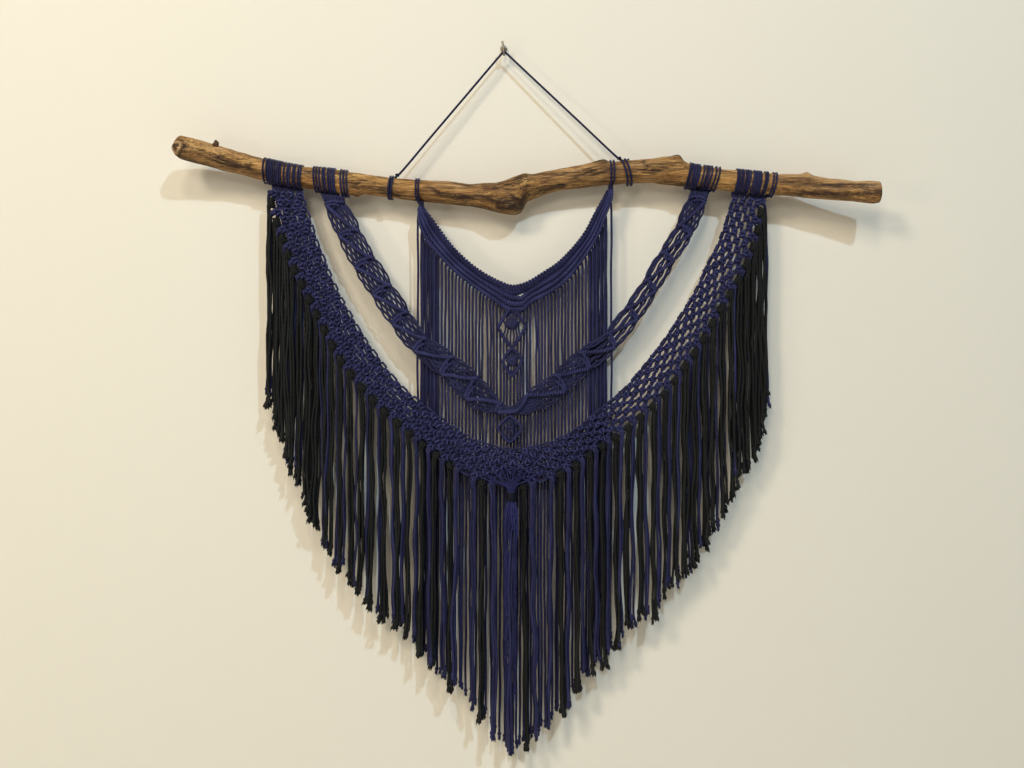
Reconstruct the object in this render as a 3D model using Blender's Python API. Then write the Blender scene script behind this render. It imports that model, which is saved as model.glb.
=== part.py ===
"""Macrame wall hanging on a driftwood branch, with its wall hook.

Frame: metres, +Z up, +X to the viewer's right, the wall is the plane Y = 0 and
everything hangs in front of it (Y < 0).  The origin is the centre of the wall
hook's flat back.  Tables are in millimetres: x to the right of the hook, drop
below the hook's centre.
"""
import math

import bmesh
import bpy
from mathutils import Matrix, Vector

MM = 0.001
GAP = 0.35            # clearance between touching pieces
CORD = 3.0            # cotton cord diameter
SIDES = 16            # points round the branch and round what is wrapped on it

BRANCH_Y = -26.0      # branch axis in front of the wall
CURTAIN_Y = -20.0     # middle of the centre curtain
CURTAIN_T = 3.0
HOOK_CORD_Y = -20.0   # where the hanging cord sits in the hook

for old in list(bpy.data.objects):
    bpy.data.objects.remove(old, do_unlink=True)

parts = bpy.data.collections.new("macrame_wall_hanging")
cutters = bpy.data.collections.new("cutters")
bpy.context.scene.collection.children.link(parts)
bpy.context.scene.collection.children.link(cutters)


# ---------------------------------------------------------------- materials
def material(name, rgb, rough, metal=0.0):
    m = bpy.data.materials.new(name)
    m.use_nodes = True
    b = m.node_tree.nodes["Principled BSDF"]
    b.inputs["Base Color"].default_value = (*rgb, 1.0)
    b.inputs["Roughness"].default_value = rough
    b.inputs["Metallic"].default_value = metal
    return m


WOOD = (0.33, 0.20, 0.09)
NAVY = (0.022, 0.024, 0.085)
BLACK = (0.010, 0.011, 0.010)
STEEL = (0.45, 0.44, 0.40)


# ------------------------------------------------------------------ helpers
def cell(table, x, column):
    """Straight-line reading of a table's column at x (its first column)."""
    if x <= table[0][0]:
        return table[0][column]
    for a, b in zip(table, table[1:]):
        if x <= b[0]:
            t = (x - a[0]) / (b[0] - a[0])
            return a[column] + t * (b[column] - a[column])
    return table[-1][column]


def link(name, mesh, mat, smooth=True, angle=40.0):
    mesh.name = name
    ob = bpy.data.objects.new(name, mesh)
    parts.objects.link(ob)
    mesh.materials.clear()
    mesh.materials.append(mat)
    if smooth:
        mesh.shade_smooth()
        mesh.set_sharp_from_angle(angle=math.radians(angle))
    return ob


def finish(bm, name, mat, **kw):
    bmesh.ops.remove_doubles(bm, verts=bm.verts, dist=0.00001)
    bmesh.ops.recalc_face_normals(bm, faces=bm.faces)
    mesh = bpy.data.meshes.new(name)
    bm.to_mesh(mesh)
    bm.free()
    return link(name, mesh, mat, **kw)


def loft(name, rings, mat, **kw):
    """Closed body through like-numbered rings of points in mm, with fan caps."""
    bm = bmesh.new()
    rows = [[bm.verts.new(Vector(p) * MM) for p in ring] for ring in rings]
    n = len(rows[0])
    for a, b in zip(rows, rows[1:]):
        for i in range(n):
            j = (i + 1) % n
            bm.faces.new((a[i], a[j], b[j], b[i]))
    for row in (rows[0], rows[-1]):
        mid = bm.verts.new(sum((v.co for v in row), Vector()) / n)
        for i in range(n):
            bm.faces.new((row[i], row[(i + 1) % n], mid))
    return finish(bm, name, mat, **kw)


def mesh_of(ob):
    """A curve's evaluated mesh with its caps welded; the curve is removed."""
    deps = bpy.context.evaluated_depsgraph_get()
    mesh = bpy.data.meshes.new_from_object(ob.evaluated_get(deps))
    mesh.transform(ob.matrix_world)
    bm = bmesh.new()
    bm.from_mesh(mesh)
    bmesh.ops.remove_doubles(bm, verts=bm.verts, dist=0.00001)
    bmesh.ops.recalc_face_normals(bm, faces=bm.faces)
    bm.to_mesh(mesh)
    bm.free()
    data = ob.data
    bpy.data.objects.remove(ob, do_unlink=True)
    bpy.data.curves.remove(data)
    return mesh


def tube(name, points, radius, res=2):
    """Round cord or wire along points in mm; bevel_resolution 2 is 8 sides."""
    cu = bpy.data.curves.new(name, "CURVE")
    cu.dimensions = "3D"
    cu.bevel_depth = radius * MM
    cu.bevel_resolution = res
    cu.use_fill_caps = True
    sp = cu.splines.new("POLY")
    sp.points.add(len(points) - 1)
    for p, q in zip(sp.points, points):
        p.co = (q[0] * MM, q[1] * MM, q[2] * MM, 1.0)
    ob = bpy.data.objects.new(name, cu)
    parts.objects.link(ob)
    bpy.context.view_layer.update()
    return mesh_of(ob)


def plate(name, outline, thick, depth_at, mat):
    """Flat outline of (x, drop) points, extruded to thick and set at depth_at(x)."""
    cu = bpy.data.curves.new(name, "CURVE")
    cu.dimensions = "2D"
    cu.fill_mode = "BOTH"
    cu.extrude = thick * 0.5 * MM
    sp = cu.splines.new("POLY")
    sp.points.add(len(outline) - 1)
    for p, q in zip(sp.points, outline):
        p.co = (q[0] * MM, -q[1] * MM, 0.0, 1.0)
    sp.use_cyclic_u = True
    ob = bpy.data.objects.new(name, cu)
    ob.matrix_world = Matrix.Rotation(math.pi / 2, 4, "X")
    parts.objects.link(ob)
    bpy.context.view_layer.update()
    mesh = mesh_of(ob)
    for v in mesh.vertices:
        v.co.y += depth_at(v.co.x / MM, -v.co.z / MM) * MM
    return link(name, mesh, mat, smooth=False)


def boolean(target, tool, op):
    tool.hide_render = True
    tool.display_type = "WIRE"
    mod = target.modifiers.new(op.lower(), "BOOLEAN")
    mod.operation = op
    mod.object = tool
    deps = bpy.context.evaluated_depsgraph_get()
    mesh = bpy.data.meshes.new_from_object(target.evaluated_get(deps))
    target.modifiers.clear()
    target.data = mesh
    bpy.data.objects.remove(tool, do_unlink=True)


# ------------------------------------------------------------------- branch
# x, drop of top edge, drop of bottom edge, half depth, shift of axis in Y
BRANCH = [
    (-424.2, 138.4, 145.3, 5, -19), (-421.1, 132.3, 151, 10, -18),
    (-416.5, 125.1, 154.7, 13.5, -17), (-403.8, 127.2, 157.9, 15, -13.5),
    (-385.3, 131.1, 161.9, 15, -9), (-375, 134.6, 164.5, 15, -7),
    (-371.2, 135.5, 165.3, 15, -6.4), (-367.4, 136.3, 167.2, 15, -5.7),
    (-342.7, 143.2, 172.2, 14.5, -1), (-314, 151, 179.5, 14, 0), (-288, 157, 185, 14, 0),
    (-261.2, 161.8, 189.8, 14, 1), (-226.5, 164.4, 193.9, 14, 3),
    (-197.8, 168, 198.1, 14, 5), (-191.3, 168.9, 200.6, 14, 5.2),
    (-182.8, 169.9, 196.5, 14, 5.5), (-148.8, 175.2, 200.3, 13, 6.5),
    (-109.6, 177.6, 205.8, 13.5, 7), (-76.5, 178.6, 208.3, 14, 7),
    (-41.2, 183.8, 212, 14, 6), (-25.1, 183, 215.1, 15.5, 5), (-8.6, 181.8, 220.4, 18, 3.5),
    (2, 178.9, 223.5, 20, 3), (13.7, 174.4, 223.5, 20.5, 2.8), (22, 170.8, 221.4, 19, 3.5),
    (26, 169.2, 217.3, 18, 4), (29.1, 169, 206.6, 17, 5), (36.1, 170.4, 204, 16.5, 5.5),
    (54.2, 167.7, 196.8, 15, 6.5), (74.3, 163.5, 191.7, 14.5, 7),
    (100.5, 158.5, 188.2, 14.5, 7), (121.5, 152.6, 185.7, 15, 6.5),
    (131.5, 150.7, 184.3, 15, 6), (139, 154.8, 183.9, 14.5, 5.5),
    (165.5, 153, 182.6, 14.5, 4.5), (197.4, 149.3, 182.4, 15, 3),
    (223.2, 146.7, 185.7, 15.5, 1.5), (230.2, 147.8, 186.3, 15.5, 1),
    (234.2, 154.8, 186.8, 15, 1), (246, 159.5, 188, 14, 0), (288, 165, 192.5, 13.5, 0),
    (323, 168.5, 196.5, 13.5, 0), (353, 171.5, 198.5, 13.5, 0), (385.3, 172, 202, 14, -2.5),
    (394, 171.2, 203.2, 14, -3.6), (400.7, 174.9, 203.8, 14, -4.5),
    (422.5, 179.1, 205.9, 13, -8), (452.3, 182.8, 209.5, 12.5, -14),
    (474.3, 183.8, 212.9, 12.5, -19), (479.7, 184.6, 212.6, 12, -20.5),
    (481.5, 187.1, 208.8, 10, -21),
]
# small stubs that stand on the branch: x, angle in degrees, height, reach along x
STUBS = [(-371.2, 90, 5.0, 2.6), (394, 90, 1.0, 4.0)]


def branch_point(x, k, extra=0.0):
    """Point k of SIDES on the branch's skin at x, moved out by extra."""
    a = 2 * math.pi * k / SIDES
    top, bottom = -cell(BRANCH, x, 1), -cell(BRANCH, x, 2)
    half_d, shift = cell(BRANCH, x, 3), cell(BRANCH, x, 4)
    half_h, mid = (top - bottom) / 2, (top + bottom) / 2
    lump = 1 + math.cos(a) * (0.035 * math.sin(x / 31.0) + 0.05 * math.sin(2 * a + x / 47.0))
    for sx, deg, height, reach in STUBS:
        off = (a - math.radians(deg) + math.pi) % (2 * math.pi) - math.pi
        if abs(off) < 0.1 and abs(x - sx) < reach:
            lump += height / half_h * (1 - abs(x - sx) / reach)
    return (x, BRANCH_Y + shift + (half_d * lump + extra) * math.cos(a),
            mid + (half_h * lump + extra) * math.sin(a))


branch_xs = [row[0] for row in BRANCH]
loft("branch", [[branch_point(x, k) for k in range(SIDES)] for x in branch_xs],
     material("driftwood", WOOD, 0.75), angle=50)


# ---------------------------------------------------------------- wall hook
FLANGE_R, FLANGE_T = 4.6, 1.8
WIRE_R = 1.3
# the wire, in the plane X = 0: y, z
HOOK_WIRE = [(-0.9, 0.0), (-9.0, 0.0), (-11.6, -0.7), (-13.4, -2.6), (-14.2, -5.4),
             (-15.0, -8.4), (-16.9, -10.7), (-20.0, -11.6), (-23.0, -10.6),
             (-24.6, -8.0), (-25.0, -4.6), (-25.0, 1.0), (-25.1, 5.0)]
bpy.ops.mesh.primitive_cylinder_add(vertices=24, radius=FLANGE_R * MM, depth=FLANGE_T * MM,
                                    location=(0, -FLANGE_T / 2 * MM, 0),
                                    rotation=(math.pi / 2, 0, 0))
flange = bpy.context.object
flange.data.transform(flange.matrix_world)
flange.matrix_world = Matrix.Identity(4)
for c in list(flange.users_collection):
    c.objects.unlink(flange)
parts.objects.link(flange)
flange.name = "wall_hook"
steel = material("hook_steel", STEEL, 0.35, 1.0)
wire = bpy.data.objects.new("hook_wire", tube("hook_wire", [(0.0, y, z) for y, z in HOOK_WIRE],
                                              WIRE_R))
cutters.objects.link(wire)
boolean(flange, wire, "UNION")
flange.data.materials.clear()
flange.data.materials.append(steel)
flange.data.shade_smooth()
flange.data.set_sharp_from_angle(angle=math.radians(40))


# ------------------------------------------------------------- hanging cord
navy = material("navy_cord", NAVY, 0.85)
APEX = (0.5, HOOK_CORD_Y, -7.5)
TURN_POINTS = 14


def turns(x0, pitch, start, count, gap):
    """Helix of cord turns round the branch, from angle start (turns)."""
    out = []
    for i in range(int(round(count * TURN_POINTS)) + 1):
        t = i / TURN_POINTS
        k = SIDES * (start + t)
        x = x0 + pitch * t
        lo, hi = branch_point(x, math.floor(k)), branch_point(x, math.floor(k) + 1)
        f = k - math.floor(k)
        p = [a + f * (b - a) for a, b in zip(lo, hi)]
        _, cy, cz = [sum(v) / 2 for v in zip(branch_point(x, 0), branch_point(x, SIDES // 2))]
        d = Vector((0, p[1] - cy, p[2] - cz)).normalized()
        r = CORD / 2 + gap
        out.append((p[0], p[1] + d.y * r, p[2] + d.z * r))
    return out


# two turns on the left, up over the hook, down into two turns on the right
left = turns(-149.5, 3.9, 0.25, 2.0, 1.0)       # ends on top of the branch
right = turns(155.0, 4.4, 0.25, 2.0, 1.0)
up = Vector(left[-1]) + Vector((4.0, 0.4, 3.4))
down = Vector(right[0]) + Vector((-4.0, 0.4, 3.0))
ridge = [Vector(APEX) + Vector(v) for v in ((-2.4, -0.1, -2.0), (-1.0, 0, -0.5), (1.2, 0, -0.5),
                                            (2.8, 0.1, -1.9))]
cord = [Vector(p) for p in left] + [up]
cord += [up.lerp(ridge[0], t) for t in (0.33, 0.66)] + ridge
cord += [ridge[-1].lerp(down, t) for t in (0.33, 0.66)] + [down]
cord += [Vector(p) for p in right]
link("hanging_cord", tube("hanging_cord", cord, CORD / 2), navy)


# ----------------------------------------------------- loops round the branch
LOOP_T = 3.1          # how far the loops stand off the branch
# node, x of the first and last loop, then the x of the gaps between sub-groups
WRAPS = [
    ("outer_loops_left", -311.0, -260.5, (-304.0, -282.0)),
    ("inner_loops_left", -246.5, -199.5, (-232.0, -214.0)),
    ("inner_loops_right", 239.0, 281.5, (254.0, 269.0)),
    ("outer_loops_right", 301.0, 353.0, (313.0, 343.0)),
    ("centre_tie_left", -115.5, -107.5, ()),
    ("centre_tie_right", 138.8, 146.5, ()),
]


def sleeve(name, x0, x1, dips):
    """Ring of loops side by side: one closed body round the branch."""
    xs = {x0: 1.6, x0 + 1.6: LOOP_T, x1 - 1.6: LOOP_T, x1: 1.6}
    for d in dips:
        xs.update({d - 2.0: LOOP_T, d: 1.7, d + 2.0: LOOP_T})
    for b in branch_xs:
        if x0 < b < x1 and min(abs(b - x) for x in xs) > 0.5:
            xs[b] = LOOP_T
    # inner skin only where the branch's own sections or the ends are
    stations = sorted(xs)
    inner = [x for x in stations if x in (x0, x1) or x in branch_xs]
    rings = [[branch_point(x, k, GAP + 0.1 + xs[x]) for k in range(SIDES)] for x in stations]
    rings += [[branch_point(x, k, GAP + 0.1) for k in range(SIDES)] for x in reversed(inner)]
    bm = bmesh.new()
    rows = [[bm.verts.new(Vector(p) * MM) for p in ring] for ring in rings]
    for a, b in zip(rows, rows[1:] + rows[:1]):
        for i in range(SIDES):
            j = (i + 1) % SIDES
            bm.faces.new((a[i], a[j], b[j], b[i]))
    return finish(bm, name, navy)


for name, x0, x1, dips in WRAPS:
    sleeve(name, x0, x1, dips)


# ------------------------------------------------------------ knotted bands
def under_loops(x):
    """Drop of the underside of the loops at x, with the gap below them."""
    return cell(BRANCH, x, 2) + LOOP_T + 2 * GAP + 0.3


def spaced(rows, pitch):
    """Rows of edge pairs, read smoothly at an even pitch along the band."""
    mids = [Vector(((r[0] + r[2]) / 2, (r[1] + r[3]) / 2)) for r in rows]
    run = [0.0]
    for a, b in zip(mids, mids[1:]):
        run.append(run[-1] + (b - a).length)
    count = max(2, round(run[-1] / pitch))
    out = []
    for i in range(count + 1):
        s = run[-1] * i / count
        k = max(j for j in range(len(rows) - 1) if run[j] <= s + 1e-9)
        t = (s - run[k]) / (run[k + 1] - run[k])
        p0, p1, p2, p3 = (rows[max(0, k - 1)], rows[k], rows[k + 1],
                          rows[min(len(rows) - 1, k + 2)])
        out.append([0.5 * (2 * b + (c - a) * t + (2 * a - 5 * b + 4 * c - d) * t * t
                           + (3 * b - a - 3 * c + d) * t ** 3)
                    for a, b, c, d in zip(p0, p1, p2, p3)])
    return out


# the section of a band, from its first edge round the front and back:
# share of the width, share of half the thickness (front is negative)
BAND_SECTION = [(0.0, 0.0), (0.07, -0.8), (0.5, -1.0), (0.93, -0.8),
                (1.0, 0.0), (0.93, 0.8), (0.5, 1.0), (0.07, 0.8)]


def band(name, rows, depth_at, thick_at, mat):
    rings = []
    for i, (ax, ad, bx, bd) in enumerate(rows):
        ring = []
        for u, v in BAND_SECTION:
            x, d = ax + u * (bx - ax), ad + u * (bd - ad)
            ring.append((x, depth_at(x, d) + v * thick_at(i) / 2, -d))
        rings.append(ring)
    return loft(name, rings, mat, angle=55)


# outer net, from the left loops down round the bottom and up to the right ones:
# outer edge x, drop, inner edge x, drop
NET = [
    (-302, 188, -261, 193), (-302, 209, -258, 209), (-294, 237, -252, 225),
    (-285, 260, -246, 246), (-276, 286, -237, 270), (-263, 312, -226, 297),
    (-249, 341, -214, 324), (-232, 374, -198, 353), (-213, 410, -180, 384),
    (-189, 442, -159, 413), (-161, 473, -135, 443), (-128, 503, -103, 471),
    (-96, 530, -71, 495), (-63, 554, -41, 514), (-33, 570, -15, 523),
    (10, 578, 10, 528), (54, 570, 36, 525), (86, 554, 63, 517),
    (116, 532, 94, 500), (146, 511, 123, 476), (177, 486, 154, 450),
    (207, 457, 181, 419), (235, 421, 206, 387), (259, 385, 228, 354),
    (281, 347, 248, 321), (301, 315, 263, 288), (317, 283, 276, 263),
    (328, 252, 285, 239), (333, 226, 292, 216), (337, 205, 296, 203),
    (344, 200, 296, 196),
]
NET_T = 7.5
NET_PITCH = 21.5      # one knot row


def flush_top(rows, ends):
    """Sets the end rows just under the loops that carry them."""
    for i in ends:
        ax, _, bx, _ = rows[i]
        rows[i] = [ax, under_loops(ax), bx, under_loops(bx)]
    return rows


def net_y(x, drop):
    return -26.0 - 7.4 * min(1.0, max(0.0, (drop - 200.0) / 330.0))


net_rows = flush_top([list(r) for r in spaced(NET, NET_PITCH / 2)], (0, -1))
for i, r in enumerate(net_rows):
    if 0 < i < len(net_rows) - 1:
        push = 0.9 if i % 2 else -0.9
        nx, nd = r[2] - r[0], r[3] - r[1]
        n = math.hypot(nx, nd)
        r[2] += push * nx / n
        r[3] += push * nd / n
net = band("outer_net", net_rows, net_y, lambda i: NET_T - (0.0 if i % 2 else 1.2), navy)

# the largest gaps in the net: narrow slits inside the edge cords, the left ones
# along the inner edge and the right ones along the outer edge, 12 on each side
SLOT_COUNT = 12
SLOTS = [  # side, first and last row share, share of width, length, breadth
    ("left", 0.06, 0.33, 0.925, 11.5, 2.4),
    ("right", 0.94, 0.70, 0.13, 12.0, 4.5),
]
slots = bmesh.new()
for side, first, last, share, length, breadth in SLOTS:
    for i in range(SLOT_COUNT):
        at = (first + (last - first) * i / (SLOT_COUNT - 1)) * (len(net_rows) - 1)
        k = min(len(net_rows) - 2, int(at))
        a = [p + (q - p) * (at - k) for p, q in zip(net_rows[k], net_rows[k + 1])]
        cx, cd = a[0] + share * (a[2] - a[0]), a[1] + share * (a[3] - a[1])
        e = 0 if share < 0.5 else 2
        lean = math.atan2(-(net_rows[k + 1][e + 1] - net_rows[k][e + 1]),
                          net_rows[k + 1][e] - net_rows[k][e])
        bmesh.ops.create_cone(
            slots, cap_ends=True, segments=6, radius1=0.5, radius2=0.5, depth=1.0,
            matrix=Matrix.Translation(Vector((cx, net_y(cx, cd), -cd)) * MM)
            @ Matrix.Rotation(-lean, 4, "Y")
            @ Matrix.Diagonal((length * MM, 30 * MM, breadth * MM, 1.0))
            @ Matrix.Rotation(math.pi / 2, 4, "X"))
slot_mesh = bpy.data.meshes.new("net_slots")
bmesh.ops.recalc_face_normals(slots, faces=slots.faces)
slots.to_mesh(slot_mesh)
slots.free()
slot_tool = bpy.data.objects.new("net_slots", slot_mesh)
cutters.objects.link(slot_tool)
boolean(net, slot_tool, "DIFFERENCE")

# inner band: outer (lower) edge x, drop, inner (upper) edge x, drop
INNER = [
    (-238, 198, -204, 200), (-229, 221, -200, 214), (-218, 248, -185, 239),
    (-206, 272, -176, 260), (-192, 298, -162, 281), (-177, 321, -148, 304),
    (-163, 343, -135, 325), (-148, 365, -122, 344), (-131, 389, -109, 367),
    (-112, 408, -93, 385), (-92, 426, -73, 398), (-70, 445, -53, 415),
    (-51, 467, -33, 433), (-28, 480, -15, 454), (-8, 482, -3, 469),
    (7, 484, 7, 475), (24, 484, 16, 471), (45, 480, 29, 456), (68, 468, 50, 442),
    (92, 447, 76, 421), (115, 425, 99, 396), (137, 408, 122, 382),
    (153, 390, 137, 364), (170, 370, 150, 347), (185, 348, 164, 328),
    (200, 324, 179, 306), (215, 299, 192, 282), (229, 276, 206, 261),
    (244, 254, 219, 239), (254, 233, 228, 218), (262, 214, 234, 206),
    (268, 196, 239, 192),
]
INNER_T = 6.5


def inner_y(x, drop):
    return -26.0 + 0.2 * min(1.0, max(0.0, (drop - 200.0) / 200.0))


inner_rows = flush_top([list(r) for r in spaced(INNER, 14.0)], (0, -1))
for i, r in enumerate(inner_rows):          # drawn in at every third row
    if 0 < i < len(inner_rows) - 1 and i % 3 == 0:
        for k in (0, 1):
            m, h = (r[k] + r[k + 2]) / 2, (r[k + 2] - r[k]) / 2 * 0.9
            r[k], r[k + 2] = m - h, m + h
band("inner_band", inner_rows, inner_y, lambda i: INNER_T - (1.0 if i % 3 == 0 else 0.0), navy)

# the small diamond that hangs from the band's lowest point: left x, drop, right x, drop
DROP_DIAMOND = [(4, 485, 11, 485), (-4, 493, 20, 493), (-9, 501, 25, 501),
                (-4, 511, 20, 511), (3, 521, 14, 521)]
band("inner_band_drop", [list(r) for r in DROP_DIAMOND], lambda x, d: -25.8,
     lambda i: 5.5, navy)

# heading of the centre panel: holding cord x, drop, lowest hitch row x, drop
HEADING = [
    (-106, 213.5, -110.5, 213.5), (-96, 226, -110.5, 233), (-83, 244, -101, 257),
    (-68, 264, -85, 276), (-49, 283, -66, 296), (-28, 299, -41, 316),
    (-5, 311, -14, 335), (12, 316, 10, 349), (31, 312, 36, 337), (54, 298, 64, 324),
    (72, 286, 85, 307), (90, 268, 105, 281), (107, 246, 122, 254),
    (120, 221, 133, 226), (131, 202, 141, 205), (137, 190.5, 142, 190.5),
]


def heading_y(x, drop):
    return -25.2 + 3.2 * min(1.0, max(0.0, (drop - 200.0) / 110.0))


heading_rows = [list(r) for r in spaced(HEADING, 11.0)]
band("centre_heading", heading_rows, heading_y, lambda i: 6.0, navy)

# two knotted leaves under the point of the heading: left x, drop, right x, drop
MOTIF = [(7, 351, 13, 351), (-3, 357, 24, 357), (-8, 369, 29, 369), (-3, 384, 23, 384),
         (4, 397, 16, 397), (-1, 405, 21, 405), (-3, 416, 23, 416), (2, 428, 18, 428),
         (7, 438, 13, 438)]
band("centre_motif", [list(r) for r in MOTIF], lambda x, d: -24.2,
     lambda i: 4.6 if i % 4 == 2 else 3.6, navy)


# ------------------------------------------------- combs: curtain and fringe
# ends of the hanging strands: x, drop
STRAND_ENDS = [
    (-312, 466), (-302, 473), (-297, 493), (-287, 541), (-270, 567), (-258, 606),
    (-240, 636), (-222, 673), (-201, 699), (-175, 732), (-157, 750), (-133, 757),
    (-105, 800), (-84, 823), (-53, 848), (-36, 870), (-10, 902), (3, 922),
    (20, 920), (44, 910), (59, 888), (85, 866), (97, 840), (128, 805), (146, 800),
    (155, 762), (197, 746), (223, 708), (249, 671), (279, 630), (291, 602),
    (305, 573), (322, 551), (335, 504), (345, 482),
]


def offset_edge(rows, e, out):
    """A band's edge e (0 or 2), moved out of the band by out mm, left to right."""
    pts = []
    for r in rows:
        sx, sd = r[e] - r[2 - e], r[e + 1] - r[3 - e]
        n = math.hypot(sx, sd)
        pts.append((r[e] + sx / n * out, r[e + 1] + sd / n * out))
    return sorted(pts)


def comb(name, top, teeth, spine, thick, depth_at, mat, sway=0.0):
    """One comb: top is its upper edge, teeth are (left x, right x, end drop)."""
    def edge(x):
        return cell(top, x, 1)
    outline = []
    first, last = teeth[0][0], teeth[-1][1]
    for i, (a, b, end) in enumerate(teeth):
        bow = sway * math.sin(1.7 * i + a / 23.0)
        if i:
            gap_l = teeth[i - 1][1]
            root = max(edge(gap_l), edge(a)) + spine
            outline += [(gap_l, root), (a, root)]
        else:
            outline.append((a, edge(a)))
        if sway:
            mid = edge((a + b) / 2) * 0.45 + end * 0.55
            outline += [(a + bow, mid), (a + 0.6, end), (b - 0.6, end), (b + bow, mid)]
        else:
            outline += [(a + 0.3, end), (b - 0.3, end)]
    outline.append((last, edge(last)))
    inside = [p for p in top if first + 1.0 < p[0] < last - 1.0]
    outline += [p for p in reversed(inside)]
    return plate(name, outline, thick, depth_at, mat)


# curtain of straight strands, two to a tooth, under the heading
CURTAIN_X = (-111.0, 142.0)
CURTAIN_TEETH = 34
heading_low = offset_edge(heading_rows[1:-1], 2, GAP + 0.4)
heading_low = [p for p in heading_low if CURTAIN_X[0] < p[0] < CURTAIN_X[1]]
heading_low = [(CURTAIN_X[0] - 0.4, 222.0)] + heading_low + [(CURTAIN_X[1] + 0.9, 199.0)]
step = (CURTAIN_X[1] - CURTAIN_X[0]) / CURTAIN_TEETH
teeth = []
for i in range(CURTAIN_TEETH):
    a = CURTAIN_X[0] + i * step
    end = cell(STRAND_ENDS, a + step / 2, 1) - 14.0 - 9.0 * math.sin(2.3 * i)
    teeth.append((a, a + step - 1.5, end))
comb("centre_curtain", heading_low, teeth, 5.0, CURTAIN_T,
     lambda x, d: CURTAIN_Y, navy)

# fringe: two combs under the net's outer edge, navy cord behind, black yarn in front
COLUMN = 11.0
FRINGE_X = (-309.0, 345.0)
net_low = [p for p in offset_edge(net_rows[2:-1:2], 0, 1.2)]
net_low = [(-310.0, 216.0), (-304.5, 211.0)] + [p for p in net_low if -303 < p[0] < 338] \
    + [(339.5, 211.0), (346.0, 217.0)]


def fringe_y(x):
    """Depth of the net's outer edge over column x."""
    return net_y(x, cell(net_low, x, 1))


def share_of_black(x):
    far = min(1.0, abs(x - 10.0) / 260.0)
    return 0.30 + 0.70 * far


def columns(x0, x1, share, width, seed):
    out, due, i = [], 0.5, 0
    x = x0
    while x + width <= x1 + 0.01:
        due += share(x + width / 2)
        if due >= 1.0 or i == 0 or x + COLUMN + width > x1 + 0.01:
            due = min(due - 1.0, 0.999) if due >= 1.0 else due
            end = cell(STRAND_ENDS, x + width / 2, 1)
            end -= 11.0 * (0.5 + 0.5 * math.sin(2.9 * i + seed))
            out.append((x, x + width, end))
        x += COLUMN
        i += 1
    return out


comb("fringe_navy", net_low,
     columns(-303.0, 338.0, lambda x: 1.15 - 0.75 * share_of_black(x), 7.5, 0.4),
     6.0, 3.4, lambda x, d: fringe_y(x) + 1.95, navy, sway=1.0)

yarn = material("black_yarn", BLACK, 0.9)
comb("fringe_black_left", net_low, columns(-309.0, -9.0, share_of_black, 8.5, 1.3),
     6.0, 3.6, lambda x, d: fringe_y(x) - 1.95, yarn, sway=1.2)
comb("fringe_black_right", net_low, columns(26.0, 345.0, share_of_black, 8.5, 2.1),
     6.0, 3.6, lambda x, d: fringe_y(x) - 1.95, yarn, sway=1.2)


# ------------------------------------------------------------------- tassel
TASSEL_X, TASSEL_Y = 10.0, -40.0
# drop, half width, half depth
TASSEL = [(579.5, 5.0, 4.0), (583, 4.8, 4.4), (595, 4.8, 4.4), (599, 8.5, 5.8),
          (620, 11.5, 6.4), (650, 12.5, 6.6), (700, 12.0, 6.0), (760, 11.0, 5.4),
          (830, 9.0, 4.4), (868, 5.5, 3.0)]
TASSEL_SIDES = 10


def oval(x, y, drop, hw, hd, n=TASSEL_SIDES):
    return [(x + hw * math.cos(2 * math.pi * k / n), y + hd * math.sin(2 * math.pi * k / n), -drop)
            for k in range(n)]


loft("tassel", [oval(TASSEL_X, TASSEL_Y, *row) for row in TASSEL], navy, angle=60)
# wrapping turns round the tassel's neck: drop, outer half width, outer half depth
TASSEL_WRAP = [(582.5, 6.8, 5.6), (585, 7.8, 6.2), (591, 8.0, 6.4), (595.5, 7.2, 5.9)]
rings = [oval(TASSEL_X, TASSEL_Y, *row) for row in TASSEL_WRAP]
rings += [oval(TASSEL_X, TASSEL_Y, d, 4.8 + GAP + 0.1, 4.4 + GAP + 0.1) for d in (595.5, 582.5)]
bm = bmesh.new()
grid = [[bm.verts.new(Vector(p) * MM) for p in ring] for ring in rings]
for a, b in zip(grid, grid[1:] + grid[:1]):
    for i in range(TASSEL_SIDES):
        j = (i + 1) % TASSEL_SIDES
        bm.faces.new((a[i], a[j], b[j], b[i]))
finish(bm, "tassel_wrap", navy)
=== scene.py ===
"""Looks of the macrame wall hanging: every cord of the knots, the driftwood and the hook.

Tables are in millimetres, x to the right of the hook and drop below its centre, and
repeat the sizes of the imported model.  The front faces -Y and the wall is Y = 0.
"""
import math

import bpy
import numpy as np
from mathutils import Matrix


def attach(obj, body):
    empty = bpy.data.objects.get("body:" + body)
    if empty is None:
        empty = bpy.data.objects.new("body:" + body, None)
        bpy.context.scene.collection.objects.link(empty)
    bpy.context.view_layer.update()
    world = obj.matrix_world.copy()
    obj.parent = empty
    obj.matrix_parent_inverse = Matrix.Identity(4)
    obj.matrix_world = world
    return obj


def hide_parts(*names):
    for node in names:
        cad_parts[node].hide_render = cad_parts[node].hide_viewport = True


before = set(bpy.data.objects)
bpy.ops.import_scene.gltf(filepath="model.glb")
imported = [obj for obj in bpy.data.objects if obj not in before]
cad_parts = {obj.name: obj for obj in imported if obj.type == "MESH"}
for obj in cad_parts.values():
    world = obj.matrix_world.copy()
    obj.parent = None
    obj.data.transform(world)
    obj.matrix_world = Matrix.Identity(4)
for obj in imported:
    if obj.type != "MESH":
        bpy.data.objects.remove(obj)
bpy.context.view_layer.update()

rng = np.random.RandomState(11)
MM = 0.001
GAP, CORD, LOOP_T = 0.35, 3.0, 3.1
BRANCH_Y, CURTAIN_Y, HOOK_CORD_Y = -26.0, -20.0, -12.4
R = 1.2               # radius of the knotting cord


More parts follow.
